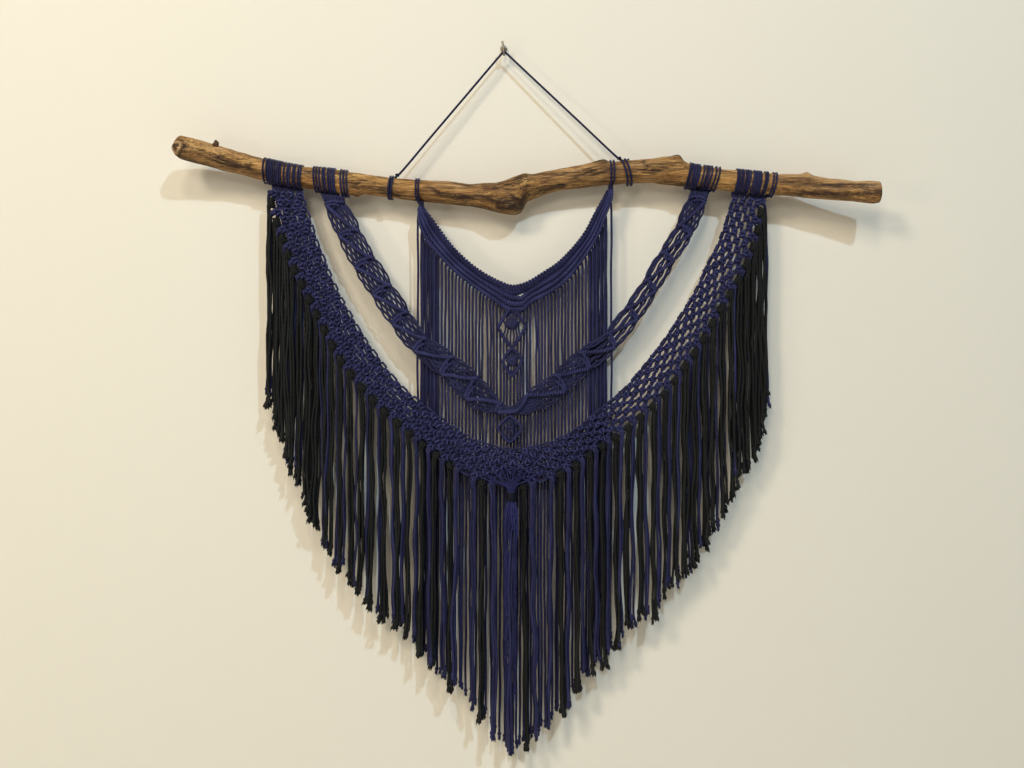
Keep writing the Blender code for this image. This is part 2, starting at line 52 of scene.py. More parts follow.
# ------------------------------------------------------------ camera and light
scene = bpy.context.scene
scene.view_settings.view_transform = "Standard"
cam_data = bpy.data.cameras.new("camera")
cam_data.lens, cam_data.sensor_width, cam_data.sensor_fit = 36.0, 36.0, "HORIZONTAL"
cam = bpy.data.objects.new("camera", cam_data)
cam.location = (0.01105, -1.3592, -0.4446)
cam.rotation_euler = (math.pi / 2, 0, 0)
scene.collection.objects.link(cam)
scene.camera = cam

world = bpy.data.worlds.new("studio")
world.use_nodes = True
world.node_tree.nodes["Background"].inputs["Color"].default_value = (1.0, 0.88, 0.72, 1)
world.node_tree.nodes["Background"].inputs["Strength"].default_value = 0.08
scene.world = world


def lamp(name, at, to, size, power, colour):
    d = bpy.data.lights.new(name, "AREA")
    d.shape, d.size, d.energy, d.color = "DISK", size, power, colour
    o = bpy.data.objects.new(name, d)
    o.location = at
    way = np.array(to) - np.array(at)
    from mathutils import Vector
    o.rotation_euler = Vector(way).to_track_quat("-Z", "Y").to_euler()
    scene.collection.objects.link(o)


lamp("cool", (1.45, -3.1, 2.5), (0.0, 0.0, -0.45), 0.13, 76.0, (0.56, 0.78, 1.0))
lamp("warm", (-1.5, -2.1, 1.25), (-0.2, 0.0, -0.2), 0.6, 33.0, (1.0, 0.88, 0.70))
lamp("upper", (-0.3, -2.2, 1.7), (0.0, 0.0, -0.3), 0.6, 18.0, (1.0, 0.90, 0.74))
lamp("front", (-0.6, -2.8, 0.6), (-0.2, 0.0, -0.3), 0.9, 15.0, (1.0, 0.91, 0.76))
lamp("low", (-1.9, -1.6, -0.5), (0.1, 0.0, -0.45), 0.28, 5.0, (1.0, 0.90, 0.76))
lamp("back", (0.3, 1.9, 0.9), (0.0, 0.0, -0.4), 1.2, 24.0, (1.0, 0.95, 0.88))


def wire_mesh(name, verts, faces):
    me = bpy.data.meshes.new(name)
    me.from_pydata(verts, [], faces)
    ob = bpy.data.objects.new(name, me)
    scene.collection.objects.link(ob)
    return ob


def plain(name, rgb, rough, clear_back=False):
    m = bpy.data.materials.new(name)
    m.use_nodes = True
    nt = m.node_tree
    b = nt.nodes["Principled BSDF"]
    b.inputs["Roughness"].default_value = rough
    b.inputs["Specular IOR Level"].default_value = 0.15
    n = nt.nodes.new("ShaderNodeTexNoise")
    n.inputs["Scale"].default_value = 2.2
    n.inputs["Detail"].default_value = 3.0
    ramp = nt.nodes.new("ShaderNodeValToRGB")
    ramp.color_ramp.elements[0].color = (*[c * 0.975 for c in rgb], 1)
    ramp.color_ramp.elements[1].color = (*rgb, 1)
    nt.links.new(n.outputs["Fac"], ramp.inputs["Fac"])
    nt.links.new(ramp.outputs["Color"], b.inputs["Base Color"])
    if clear_back:
        g = nt.nodes.new("ShaderNodeNewGeometry")
        t = nt.nodes.new("ShaderNodeBsdfTransparent")
        mix = nt.nodes.new("ShaderNodeMixShader")
        nt.links.new(g.outputs["Backfacing"], mix.inputs["Fac"])
        nt.links.new(b.outputs["BSDF"], mix.inputs[1])
        nt.links.new(t.outputs["BSDF"], mix.inputs[2])
        nt.links.new(mix.outputs["Shader"], nt.nodes["Material Output"].inputs["Surface"])
    return m


backdrop = wire_mesh("backdrop", [(-2.2, 0.003, -1.3), (2.2, 0.003, -1.3), (2.2, 0.003, 1.2),
                                  (-2.2, 0.003, 1.2)], [(0, 1, 2, 3)])
backdrop.data.materials.append(plain("backdrop_plain", (0.80, 0.755, 0.655), 0.9, True))
backdrop.visible_shadow = False
floor = wire_mesh("floor", [(-4, -4, -1.3), (4, -4, -1.3), (4, 4, -1.3), (-4, 4, -1.3)],
                  [(0, 1, 2, 3)])
floor.data.materials.append(plain("floor_plain", (0.74, 0.72, 0.66), 0.8))


# ------------------------------------------------------------------ materials
class Nodes:
    """Short hand for a node tree."""
    def __init__(self, name):
        self.m = bpy.data.materials.new(name)
        self.m.use_nodes = True
        self.t = self.m.node_tree
        self.b = self.t.nodes["Principled BSDF"]

    def new(self, kind, **kw):
        n = self.t.nodes.new(kind)
        for k, v in kw.items():
            setattr(n, k, v)
        return n

    def wire(self, a, b):
        self.t.links.new(a, b)

    def math(self, op, a, b=None, clamp=False):
        n = self.new("ShaderNodeMath", operation=op, use_clamp=clamp)
        for i, v in enumerate((a, b)):
            if v is None:
                continue
            if isinstance(v, (int, float)):
                n.inputs[i].default_value = v
            else:
                self.wire(v, n.inputs[i])
        return n.outputs[0]

    def mix(self, fac, a, b, kind="MIX"):
        n = self.new("ShaderNodeMix", data_type="RGBA", blend_type=kind)
        for i, v in ((0, fac), (6, a), (7, b)):
            if isinstance(v, (int, float)):
                n.inputs[i].default_value = v
            elif isinstance(v, tuple):
                n.inputs[i].default_value = (*v, 1.0)
            else:
                self.wire(v, n.inputs[i])
        return n.outputs[2]

    def noise(self, scale, detail=2.0, rough=0.5, vector=None, warp=0.0):
        n = self.new("ShaderNodeTexNoise")
        n.inputs["Scale"].default_value = scale
        n.inputs["Detail"].default_value = detail
        n.inputs["Roughness"].default_value = rough
        n.inputs["Distortion"].default_value = warp
        if vector is not None:
            self.wire(vector, n.inputs["Vector"])
        return n.outputs["Fac"]

    def attr(self, name):
        return self.new("ShaderNodeAttribute", attribute_name=name).outputs["Fac"]

    def bump(self, height, strength, distance, under=None):
        n = self.new("ShaderNodeBump")
        n.inputs["Strength"].default_value = strength
        n.inputs["Distance"].default_value = distance
        self.wire(height, n.inputs["Height"])
        if under is not None:
            self.wire(under, n.inputs["Normal"])
        return n.outputs["Normal"]


def cord_material(name, dark, mid, light, plies, lay, rough, sheen, braided):
    """Cotton cord: plies round it with one lay in mm, fibres and a tone for each cord."""
    k = Nodes(name)
    uv = k.new("ShaderNodeUVMap", uv_map="round_and_along")
    sep = k.new("ShaderNodeSeparateXYZ")
    k.wire(uv.outputs["UV"], sep.inputs[0])
    u, v = sep.outputs[0], sep.outputs[1]
    a = k.math("MULTIPLY", u, 2 * math.pi * plies)
    b = k.math("MULTIPLY", v, 2 * math.pi / lay)
    one = k.math("SINE", k.math("ADD", a, b))
    if braided:
        two = k.math("SINE", k.math("SUBTRACT", a, b))
        ply = k.math("MULTIPLY", one, two)
    else:
        ply = one
    ply = k.math("ADD", k.math("MULTIPLY", ply, 0.5), 0.5)
    co = k.new("ShaderNodeTexCoord").outputs["Object"]
    fluff = k.noise(1500.0, 3.0, 0.6, co)
    worn = k.noise(70.0, 2.0, 0.5, co)
    tone = k.attr("tone")
    f = k.math("ADD", k.math("MULTIPLY", tone, 0.55), k.math("MULTIPLY", worn, 0.3))
    f = k.math("ADD", f, k.math("MULTIPLY", ply, 0.28))
    f = k.math("ADD", f, k.math("MULTIPLY", fluff, 0.2))
    ramp = k.new("ShaderNodeValToRGB")
    e = ramp.color_ramp.elements
    e[0].position, e[0].color = 0.32, (*dark, 1)
    e[1].position, e[1].color = 0.95, (*light, 1)
    c = e.new(0.62)
    c.color = (*mid, 1)
    k.wire(f, ramp.inputs["Fac"])
    k.wire(ramp.outputs["Color"], k.b.inputs["Base Color"])
    k.b.inputs["Roughness"].default_value = rough
    k.b.inputs["Specular IOR Level"].default_value = 0.20
    k.b.inputs["Sheen Weight"].default_value = sheen
    k.b.inputs["Sheen Roughness"].default_value = 0.45
    k.b.inputs["Sheen Tint"].default_value = (*[min(1.0, x * 2.5 + 0.30) for x in light], 1)
    n = k.bump(fluff, 0.25, 0.0002)
    n = k.bump(ply, 0.55, 0.00035, n)
    k.wire(n, k.b.inputs["Normal"])
    return k.m


NAVY = cord_material("navy_cord_cotton", (0.0032, 0.0034, 0.014), (0.0115, 0.0120, 0.050),
                     (0.040, 0.042, 0.135), 4, 5.5, 0.58, 0.09, True)
YARN = cord_material("black_yarn_cotton", (0.0022, 0.0026, 0.0027), (0.0055, 0.0060, 0.0060),
                     (0.018, 0.0195, 0.0185), 3, 7.0, 0.70, 0.02, False)
FLUFF = cord_material("navy_unravelled_cotton", (0.007, 0.007, 0.034), (0.017, 0.0175, 0.082),
                      (0.040, 0.042, 0.165), 2, 3.0, 0.80, 0.05, False)


# ----------------------------------------------------------------- cord maker
def frames(P, T):
    """Normals that turn as little as they can along the line."""
    p, t = P.tolist(), T.tolist()
    a = (0.0, 1.0, 0.0) if abs(t[0][1]) < 0.9 else (1.0, 0.0, 0.0)
    x, y, z = t[0]
    r = [a[1] * z - a[2] * y, a[2] * x - a[0] * z, a[0] * y - a[1] * x]
    q = math.sqrt(r[0] ** 2 + r[1] ** 2 + r[2] ** 2)
    r = [r[0] / q, r[1] / q, r[2] / q]
    out = [r]
    for i in range(len(p) - 1):
        ax, ay, az = p[i + 1][0] - p[i][0], p[i + 1][1] - p[i][1], p[i + 1][2] - p[i][2]
        c = ax * ax + ay * ay + az * az
        tx, ty, tz = t[i]
        k = 2.0 / c * (ax * r[0] + ay * r[1] + az * r[2])
        lx, ly, lz = r[0] - k * ax, r[1] - k * ay, r[2] - k * az
        k = 2.0 / c * (ax * tx + ay * ty + az * tz)
        mx, my, mz = tx - k * ax, ty - k * ay, tz - k * az
        bx, by, bz = t[i + 1][0] - mx, t[i + 1][1] - my, t[i + 1][2] - mz
        c = bx * bx + by * by + bz * bz
        if c > 1e-12:
            k = 2.0 / c * (bx * lx + by * ly + bz * lz)
            lx, ly, lz = lx - k * bx, ly - k * by, lz - k * bz
        r = [lx, ly, lz]
        out.append(r)
    N = np.array(out)
    N -= T * (N * T).sum(1)[:, None]
    return N / np.linalg.norm(N, axis=1)[:, None]


def curve(points, step=1.4):
    """A smooth line through the points, read every step mm."""
    P = np.asarray(points, float)
    keep = np.ones(len(P), bool)
    keep[1:] = np.linalg.norm(np.diff(P, axis=0), axis=1) > 1e-3
    P = P[keep]
    E = np.vstack([2 * P[0] - P[1], P, 2 * P[-1] - P[-2]])
    d = np.sqrt(np.maximum(np.linalg.norm(np.diff(E, axis=0), axis=1), 1e-6))
    t1 = d[:-2][:, None, None]
    t2 = t1 + d[1:-1][:, None, None]
    t3 = t2 + d[2:][:, None, None]
    m = 8
    t = t1 + (t2 - t1) * (np.arange(m) / m)[None, :, None]
    p0, p1, p2, p3 = E[:-3, None], E[1:-2, None], E[2:-1, None], E[3:, None]
    a1 = (t1 - t) / t1 * p0 + t / t1 * p1
    a2 = (t2 - t) / (t2 - t1) * p1 + (t - t1) / (t2 - t1) * p2
    a3 = (t3 - t) / (t3 - t2) * p2 + (t - t2) / (t3 - t2) * p3
    b1 = (t2 - t) / t2 * a1 + t / t2 * a2
    b2 = (t3 - t) / (t3 - t1) * a2 + (t - t1) / (t3 - t1) * a3
    C = (t2 - t) / (t2 - t1) * b1 + (t - t1) / (t2 - t1) * b2
    C = np.vstack([C.reshape(-1, P.shape[1]), P[-1]])
    s = np.concatenate([[0], np.cumsum(np.linalg.norm(np.diff(C, axis=0), axis=1))])
    k = max(2, int(round(s[-1] / step)))
    at = np.linspace(0, s[-1], k + 1)
    return np.stack([np.interp(at, s, C[:, i]) for i in range(P.shape[1])], -1)


class Bag:
    """One mesh gathered from many swept cords, in mm."""
    def __init__(self):
        self.co, self.quads, self.tris, self.uq, self.ut, self.tone = [], [], [], [], [], []
        self.count = 0

    def sweep(self, pts, r=R, sides=7, tone=0.5, v0=0.0, ends=(0.5, 0.5)):
        P = np.asarray(pts, float)
        keep = np.ones(len(P), bool)
        keep[1:] = np.linalg.norm(np.diff(P, axis=0), axis=1) > 1e-4
        r = np.broadcast_to(np.asarray(r, float), (len(P),))[keep]
        tone = np.broadcast_to(np.asarray(tone, float), (len(P),))[keep]
        P = P[keep]
        n = len(P)
        T = np.gradient(P, axis=0)
        T /= np.linalg.norm(T, axis=1)[:, None]
        N = frames(P, T)
        B = np.cross(T, N)
        k = np.arange(sides) * 2 * math.pi / sides
        ring = P[:, None] + r[:, None, None] * (np.cos(k)[None, :, None] * N[:, None]
                                               + np.sin(k)[None, :, None] * B[:, None])
        tips = np.array([P[0] - T[0] * r[0] * ends[0], P[-1] + T[-1] * r[-1] * ends[1]])
        self.co.append(np.vstack([ring.reshape(-1, 3), tips]))
        self.tone.append(np.concatenate([np.repeat(tone, sides), tone[[0, -1]]]))
        i = np.arange(n - 1)[:, None] * sides
        j = np.arange(sides)[None, :]
        j2 = (j + 1) % sides
        base = self.count
        self.quads.append(np.stack([i + j, i + j2, i + sides + j2, i + sides + j], -1)
                          .reshape(-1, 4) + base)
        s = np.concatenate([[0], np.cumsum(np.linalg.norm(np.diff(P, axis=0), axis=1))]) + v0
        ua = np.broadcast_to(j / sides, (n - 1, sides))
        ub = np.broadcast_to((j + 1) / sides, (n - 1, sides))
        va = np.broadcast_to(s[:-1, None], (n - 1, sides))
        vb = np.broadcast_to(s[1:, None], (n - 1, sides))
        self.uq.append(np.stack([ua, va, ub, va, ub, vb, ua, vb], -1).reshape(-1, 4, 2))
        j, j2 = j[0], j2[0]
        end = (n - 1) * sides
        a = np.stack([np.full(sides, n * sides), j2, j], -1)
        b = np.stack([np.full(sides, n * sides + 1), end + j, end + j2], -1)
        self.tris.append(np.vstack([a, b]) + base)
        ua = j / sides
        ub = (j + 1) / sides
        z, w = np.full(sides, s[0]), np.full(sides, s[-1])
        self.ut.append(np.vstack([
            np.stack([ua, z - 0.5, ub, z, ua, z], -1).reshape(-1, 3, 2),
            np.stack([ua, w + 0.5, ua, w, ub, w], -1).reshape(-1, 3, 2)]))
        self.count += n * sides + 2
        return s[-1] - s[0]

    def triangles(self):
        return 2 * sum(len(q) for q in self.quads) + sum(len(t) for t in self.tris)

    def build(self, name, mat, nodes=(), slot="navy_cord"):
        me = bpy.data.meshes.new(name)
        co = np.concatenate(self.co) * MM
        quads, tris = np.concatenate(self.quads), np.concatenate(self.tris)
        me.vertices.add(len(co))
        me.vertices.foreach_set("co", co.astype(np.float32).ravel())
        me.loops.add(4 * len(quads) + 3 * len(tris))
        me.loops.foreach_set("vertex_index", np.concatenate([quads.ravel(), tris.ravel()])
                             .astype(np.int32))
        me.polygons.add(len(quads) + len(tris))
        me.polygons.foreach_set("loop_start", np.concatenate(
            [np.arange(len(quads)) * 4, 4 * len(quads) + np.arange(len(tris)) * 3])
            .astype(np.int32))
        me.update(calc_edges=True)
        uv = me.uv_layers.new(name="round_and_along")
        uv.data.foreach_set("uv", np.concatenate(
            [np.concatenate(self.uq).ravel(), np.concatenate(self.ut).ravel()])
            .astype(np.float32))
        at = me.attributes.new("tone", "FLOAT", "POINT")
        at.data.foreach_set("value", np.concatenate(self.tone).astype(np.float32))
        me.shade_smooth()
        me.materials.append(mat)
        ob = bpy.data.objects.new(name, me)
        scene.collection.objects.link(ob)
        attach(ob, "root")
        if nodes:
            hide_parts(*nodes)
        made.append((name, self.triangles()))
        return ob


made = []


def clamp01(v):
    return np.clip(v, 0.0, 1.0)


def px(*p):
    """A pair of picture columns and rows as x and drop in mm."""
    return (p[0] - 503.5) * 1.3, (p[1] - 42.0) * 1.3


def pt(x, y, drop):
    return (x, y, -drop)


# --------------------------------------------------------------------- branch
# x, drop of top edge, drop of bottom edge, half depth, shift of axis in Y
BRANCH = [
    (-424.2, 138.4, 145.3, 5, -19), (-421.1, 132.3, 151, 10, -18),
    (-416.5, 125.1, 154.7, 13.5, -17), (-403.8, 127.2, 157.9, 15, -13.5),
    (-385.3, 131.1, 161.9, 15, -9), (-375, 134.6, 164.5, 15, -7),
    (-371.2, 135.5, 165.3, 15, -6.4), (-367.4, 136.3, 167.2, 15, -5.7),
    (-342.7, 143.2, 172.2, 14.5, -1), (-314, 151, 179.5, 14, 0), (-288, 157, 185, 14, 0),
    (-261.2, 161.8, 189.8, 14, 1), (-226.5, 164.4, 193.9, 14, 3),
    (-197.8, 168, 198.1, 14, 5), (-191.3, 168.9, 200.6, 14, 5.2),
    (-182.8, 169.9, 196.5, 14, 5.5), (-148.8, 175.2, 200.3, 13, 6.5),
    (-109.6, 177.6, 205.8, 13.5, 7), (-76.5, 178.6, 208.3, 14, 7),
    (-41.2, 183.8, 212, 14, 6), (-25.1, 183, 215.1, 15.5, 5), (-8.6, 181.8, 220.4, 18, 3.5),
    (2, 178.9, 223.5, 20, 3), (13.7, 174.4, 223.5, 20.5, 2.8), (22, 170.8, 221.4, 19, 3.5),
    (26, 169.2, 217.3, 18, 4), (29.1, 169, 206.6, 17, 5), (36.1, 170.4, 204, 16.5, 5.5),
    (54.2, 167.7, 196.8, 15, 6.5), (74.3, 163.5, 191.7, 14.5, 7),
    (100.5, 158.5, 188.2, 14.5, 7), (121.5, 152.6, 185.7, 15, 6.5),
    (131.5, 150.7, 184.3, 15, 6), (139, 154.8, 183.9, 14.5, 5.5),
    (165.5, 153, 182.6, 14.5, 4.5), (197.4, 149.3, 182.4, 15, 3),
    (223.2, 146.7, 185.7, 15.5, 1.5), (230.2, 147.8, 186.3, 15.5, 1),
    (234.2, 154.8, 186.8, 15, 1), (246, 159.5, 188, 14, 0), (288, 165, 192.5, 13.5, 0),
    (323, 168.5, 196.5, 13.5, 0), (353, 171.5, 198.5, 13.5, 0), (385.3, 172, 202, 14, -2.5),
    (394, 171.2, 203.2, 14, -3.6), (400.7, 174.9, 203.8, 14, -4.5),
    (422.5, 179.1, 205.9, 13, -8), (452.3, 182.8, 209.5, 12.5, -14),
    (474.3, 183.8, 212.9, 12.5, -19), (479.7, 184.6, 212.6, 12, -20.5),
    (481.5, 187.1, 208.8, 10, -21),
]
BR = np.array(BRANCH, float)
X0, X1 = BR[0, 0], BR[-1, 0]
BX = np.append(np.arange(X0, X1, 0.5), X1)


def _smoothed(col, sigma=1.8):
    y = np.interp(BX, BR[:, 0], BR[:, col])
    k = np.arange(-12, 13) * 0.5
    w = np.exp(-0.5 * (k / sigma) ** 2)
    w /= w.sum()
    pad = np.concatenate([np.full(12, y[0]), y, np.full(12, y[-1])])
    s = np.convolve(pad, w, "valid")
    edge = np.clip(np.minimum(BX - BX[0], BX[-1] - BX) / 8.0, 0, 1)
    return y * (1 - edge) + s * edge


BTOP, BLOW, BDEP, BSHIFT = (_smoothed(c) for c in (1, 2, 3, 4))


def skin(x, a, extra=0.0):
    """Point of the branch's smooth skin at x and angle a: 0 back, a quarter top."""
    x, a, extra = np.broadcast_arrays(np.asarray(x, float), np.asarray(a, float),
                                      np.asarray(extra, float))
    top, low = -np.interp(x, BX, BTOP), -np.interp(x, BX, BLOW)
    hd, sh = np.interp(x, BX, BDEP), np.interp(x, BX, BSHIFT)
    hh, mid = (top - low) / 2, (top + low) / 2
    lump = 1 + np.cos(a) * (0.035 * np.sin(x / 31.0) + 0.05 * np.sin(2 * a + x / 47.0))
    return np.stack([x, BRANCH_Y + sh + (hd * lump + extra) * np.cos(a),
                     mid + (hh * lump + extra) * np.sin(a)], -1)


def under_loops(x):
    return float(np.interp(x, BR[:, 0], BR[:, 2])) + LOOP_T + 2 * GAP + 0.3


def branch_mesh():
    n_a = 84
    xs = np.concatenate([np.linspace(X0, X0 + 20.5, 26), np.linspace(X0 + 20.5, X1, 476)[1:]])
    n_x = len(xs)
    an = np.arange(n_a) * 2 * math.pi / n_a
    Xg, Ag = np.meshgrid(xs, an, indexing="ij")
    # grain that runs along the wood and winds a little round it
    W = Ag + 0.0011 * Xg + 0.16 * np.sin(Xg / 63.0) + 0.08 * np.sin(Xg / 23.0 + 1.0)
    g = np.random.RandomState(5)

    def streaks(lo, hi, count, long_lo, long_hi):
        out = np.zeros_like(Xg)
        for _ in range(count):
            ka = g.randint(lo, hi + 1)
            kx = 2 * math.pi / g.uniform(long_lo, long_hi) * g.choice([-1, 1])
            out += np.sin(ka * W + kx * Xg + g.uniform(0, 6.28)) / math.sqrt(ka)
        return out / count ** 0.5

    broad = streaks(2, 6, 10, 70, 300)
    fine = streaks(7, 26, 26, 40, 220)
    wave = streaks(1, 3, 6, 40, 120)
    lumps = streaks(2, 7, 12, 16, 45)
    push = 0.40 * broad + 0.68 * fine + 0.45 * wave + 0.38 * lumps
    ditch = np.exp(-(fine / 0.16) ** 2) * np.clip(broad * 1.4 + 0.25, 0, 1)
    crack = np.exp(-(broad / 0.07) ** 2) * np.clip(wave * 1.5, 0, 1)
    push -= 0.95 * ditch + 0.9 * crack
    dark = 0.07 + 0.16 * broad - 0.30 * fine + 0.65 * ditch + 0.7 * crack
    # darker on the lower half of the left part, and darker in the middle part
    dark += 0.26 * np.clip((-300.0 - Xg) / 60.0, 0, 1) * np.clip(-np.sin(Ag) * 1.6 + 0.2, 0, 1)
    dark += 0.20 * np.clip((Xg + 110.0) / 60.0, 0, 1) * np.clip((215.0 - Xg) / 50.0, 0, 1)
    dark -= 0.13 * np.clip((Xg - 240.0) / 60.0, 0, 1)
    pale = np.zeros_like(Xg)
    P = skin(Xg, Ag)
    front = np.clip(-np.cos(Ag) * 2.2 + 0.2, 0, 1)
    Z = P[..., 2]

    def on_wood(cx, cy):
        x0, d0 = px(cx, cy)
        k = (1333.2 + float(np.interp(x0, BX, BSHIFT))) / 1333.2
        return 11.05 + (x0 - 11.05) * k, 444.6 + (d0 - 444.6) * k

    def spot(cx, cy, rx, ry, turn=0.0):
        x0, d0 = on_wood(cx, cy)
        ex, ez = (Xg - x0) / 1.3, (Z + d0) / 1.3
        c, s = math.cos(turn), math.sin(turn)
        p, q = ex * c - ez * s, ex * s + ez * c
        return np.exp(-(p / rx) ** 2 - (q / ry) ** 2) * front

    def ring(cx, cy, rx, ry, width):
        x0, d0 = on_wood(cx, cy)
        e = np.sqrt(((Xg - x0) / 1.3 / rx) ** 2 + ((Z + d0) / 1.3 / ry) ** 2)
        return np.exp(-((e - 1) / width) ** 2) * front

    # painted shade: the underside is darkened all along, a band as thick as a shadow line
    under = np.clip(-np.sin(Ag) - 0.35, 0, 1)
    dark += 0.30 * under
    # the right end is darker below and paler above
    right = np.clip((Xg - 325.0) / 45.0, 0, 1)
    dark += 0.34 * right * np.clip(0.45 - 1.7 * np.sin(Ag), 0, 1) * (1 - 0.6 * under)
    dark -= 0.12 * right * np.clip(1.7 * np.sin(Ag) - 0.4, 0, 1)
    # long dark bands and patches: column, row, half length, half height, slope, strength
    for cx, cy, rx, ry, turn, k in (
            (838, 186, 44, 1.7, 0.03, 0.75), (846, 195, 40, 1.9, 0.05, 0.72),
            (800, 180, 22, 1.4, 0.05, 0.45), (470, 199, 46, 3.4, 0.08, 0.52),
            (505, 207, 18, 4.5, 0.05, 0.22), (560, 186, 34, 1.3, -0.16, 0.42),
            (585, 178, 28, 1.1, -0.20, 0.40), (650, 172, 26, 1.2, 0.02, 0.42),
            (672, 164, 16, 1.0, 0.05, 0.40), (245, 168, 26, 1.2, 0.24, 0.42),
            (215, 156, 18, 1.0, 0.26, 0.36), (380, 188, 26, 1.1, 0.08, 0.38),
            (356, 196, 5.0, 2.2, 0.0, 0.55), (440, 190, 20, 1.0, 0.06, 0.38),
            (312, 178, 9, 3.0, 0.1, 0.40), (601, 161, 7.5, 2.6, -0.1, 0.85),
            (610, 171, 8, 2.0, -0.1, 0.62), (676, 156, 7.0, 2.4, 0.3, 0.70),
            (807, 173, 4.5, 2.0, 0.0, 0.60), (523, 204, 2.2, 8.0, 0.1, 0.85),
            (496, 203, 7.0, 1.3, 0.25, 0.80), (506, 209, 9.0, 1.3, 0.10, 0.75),
            (514, 199, 6.0, 1.2, 0.45, 0.70), (483, 198, 8.0, 1.2, 0.1, 0.55),
            (216, 141, 3.6, 3.2, 0.0, 0.70), (251, 166, 3.2, 2.2, 0.0, 0.62),
            (188, 150, 2.0, 9.0, 0.25, 0.35), (705, 170, 22, 1.2, 0.10, 0.35),
            (520, 190, 22, 1.4, -0.22, 0.45), (545, 197, 16, 1.2, -0.25, 0.40)):
        dark += k * spot(cx, cy, rx, ry, turn)
    for cx, cy, rx, ry, turn, k in (
            (508, 204, 6.0, 1.7, 0.35, 0.85), (515, 206, 5.0, 1.6, 0.2, 0.65),
            (640, 166, 20, 1.8, -0.08, 0.35), (215, 150, 16, 2.2, 0.26, 0.35),
            (300, 172, 26, 2.0, 0.22, 0.25), (575, 172, 18, 2.2, -0.25, 0.30),
            (825, 190, 24, 1.3, 0.04, 0.30), (868, 188, 9, 2.6, 0.0, 0.30),
            (722, 172, 14, 2.0, 0.1, 0.25), (455, 187, 20, 1.8, 0.05, 0.3)):
        pale += k * spot(cx, cy, rx, ry, turn)
    pale += 0.30 * right * np.clip(1.8 * np.sin(Ag) - 0.4, 0, 1)
    # knots with rings round them
    for cx, cy, rx, ry, k in ((231, 160, 9.0, 3.2, 1.0), (251, 166, 3.8, 2.6, 0.8),
                              (601, 162, 8.0, 3.2, 1.0), (178, 148.5, 5.0, 5.2, 0.7),
                              (676, 158, 6.5, 3.4, 0.8), (509, 206, 11.0, 6.5, 0.8),
                              (807, 174, 4.5, 3.0, 0.6)):
        for f, w, s in ((1.0, 0.22, 0.42), (0.55, 0.22, 0.36)):
            r = ring(cx, cy, rx * f, ry * f, w)
            dark += k * s * r
            push -= k * 0.55 * r
        push += k * 0.9 * spot(cx, cy, rx * 1.1, ry * 1.1)
    # the big burl stands out, with folds in it
    burl = spot(508, 204, 12, 8.5)
    push += 1.7 * burl * (1 + 1.3 * lumps + 0.35 * np.sin((Xg * 0.9 + Z * 1.6) / 2.6)
                          + 0.4 * np.sin((Xg * 0.4 - Z * 1.9) / 1.9))
    dark -= burl * (0.12 * np.sin((Xg * 0.9 + Z * 1.6) / 2.6) + 0.40 * lumps)
    pale += 0.35 * burl * np.clip(np.sin((Xg * 0.5 + Z * 1.9) / 2.9), 0, 1)
    # sawn left end: pale wood with a pith
    end = np.clip((X0 + 16.5 - Xg) / 5.0, 0, 1)
    dark = dark * (1 - 0.6 * end) + 0.34 * end
    x0, d0 = on_wood(177.4, 148.0)
    ex, ez = Xg - x0, Z + d0
    e, th = np.hypot(ex, ez), np.arctan2(ez, ex)
    heart = 6.0 * (1 + 0.20 * np.cos(3 * (th - math.pi / 6)))
    ringed = np.exp(-((e - heart) / 1.5) ** 2) * front
    dark = dark * (1 - 0.9 * ringed) + 0.62 * np.exp(-(e / (heart * 0.72)) ** 4) * front
    pale += 0.80 * ringed
    dark += 0.50 * np.exp(-((e - heart - 4.4) / 1.7) ** 2) * front * np.clip(ex / 3.0, 0, 1)
    # sawn right end, straight
    end = np.clip((Xg - X1 + 3.0) / 2.0, 0, 1)
    dark += 0.18 * end
    push *= np.clip(np.minimum(Xg - X0 + 0.5, X1 + 0.5 - Xg) / 5.0, 0.1, 1)
    # small stubs, and the nub underneath
    for sx, sa, rx, ra, h in ((-190.0, 1.48 * math.pi, 4.0, 0.30, 0.9),
                              (393.0, 0.58 * math.pi, 5.0, 0.30, 1.2),
                              (228.0, 0.60 * math.pi, 5.5, 0.45, 1.2),
                              (-352.0, 0.55 * math.pi, 4.0, 0.3, 0.8)):
        push += h * np.exp(-((Xg - sx) / rx) ** 2 - ((Ag - sa) / ra) ** 2)
    P = skin(Xg, Ag, push)
    P[..., 1:] = skin(np.minimum(Xg, 479.7), Ag, push)[..., 1:]     # square cut right end
    verts = np.vstack([P.reshape(-1, 3), P[0].mean(0), P[-1].mean(0)])
    i = np.arange(n_x - 1)[:, None] * n_a
    j = np.arange(n_a)[None, :]
    j2 = (j + 1) % n_a
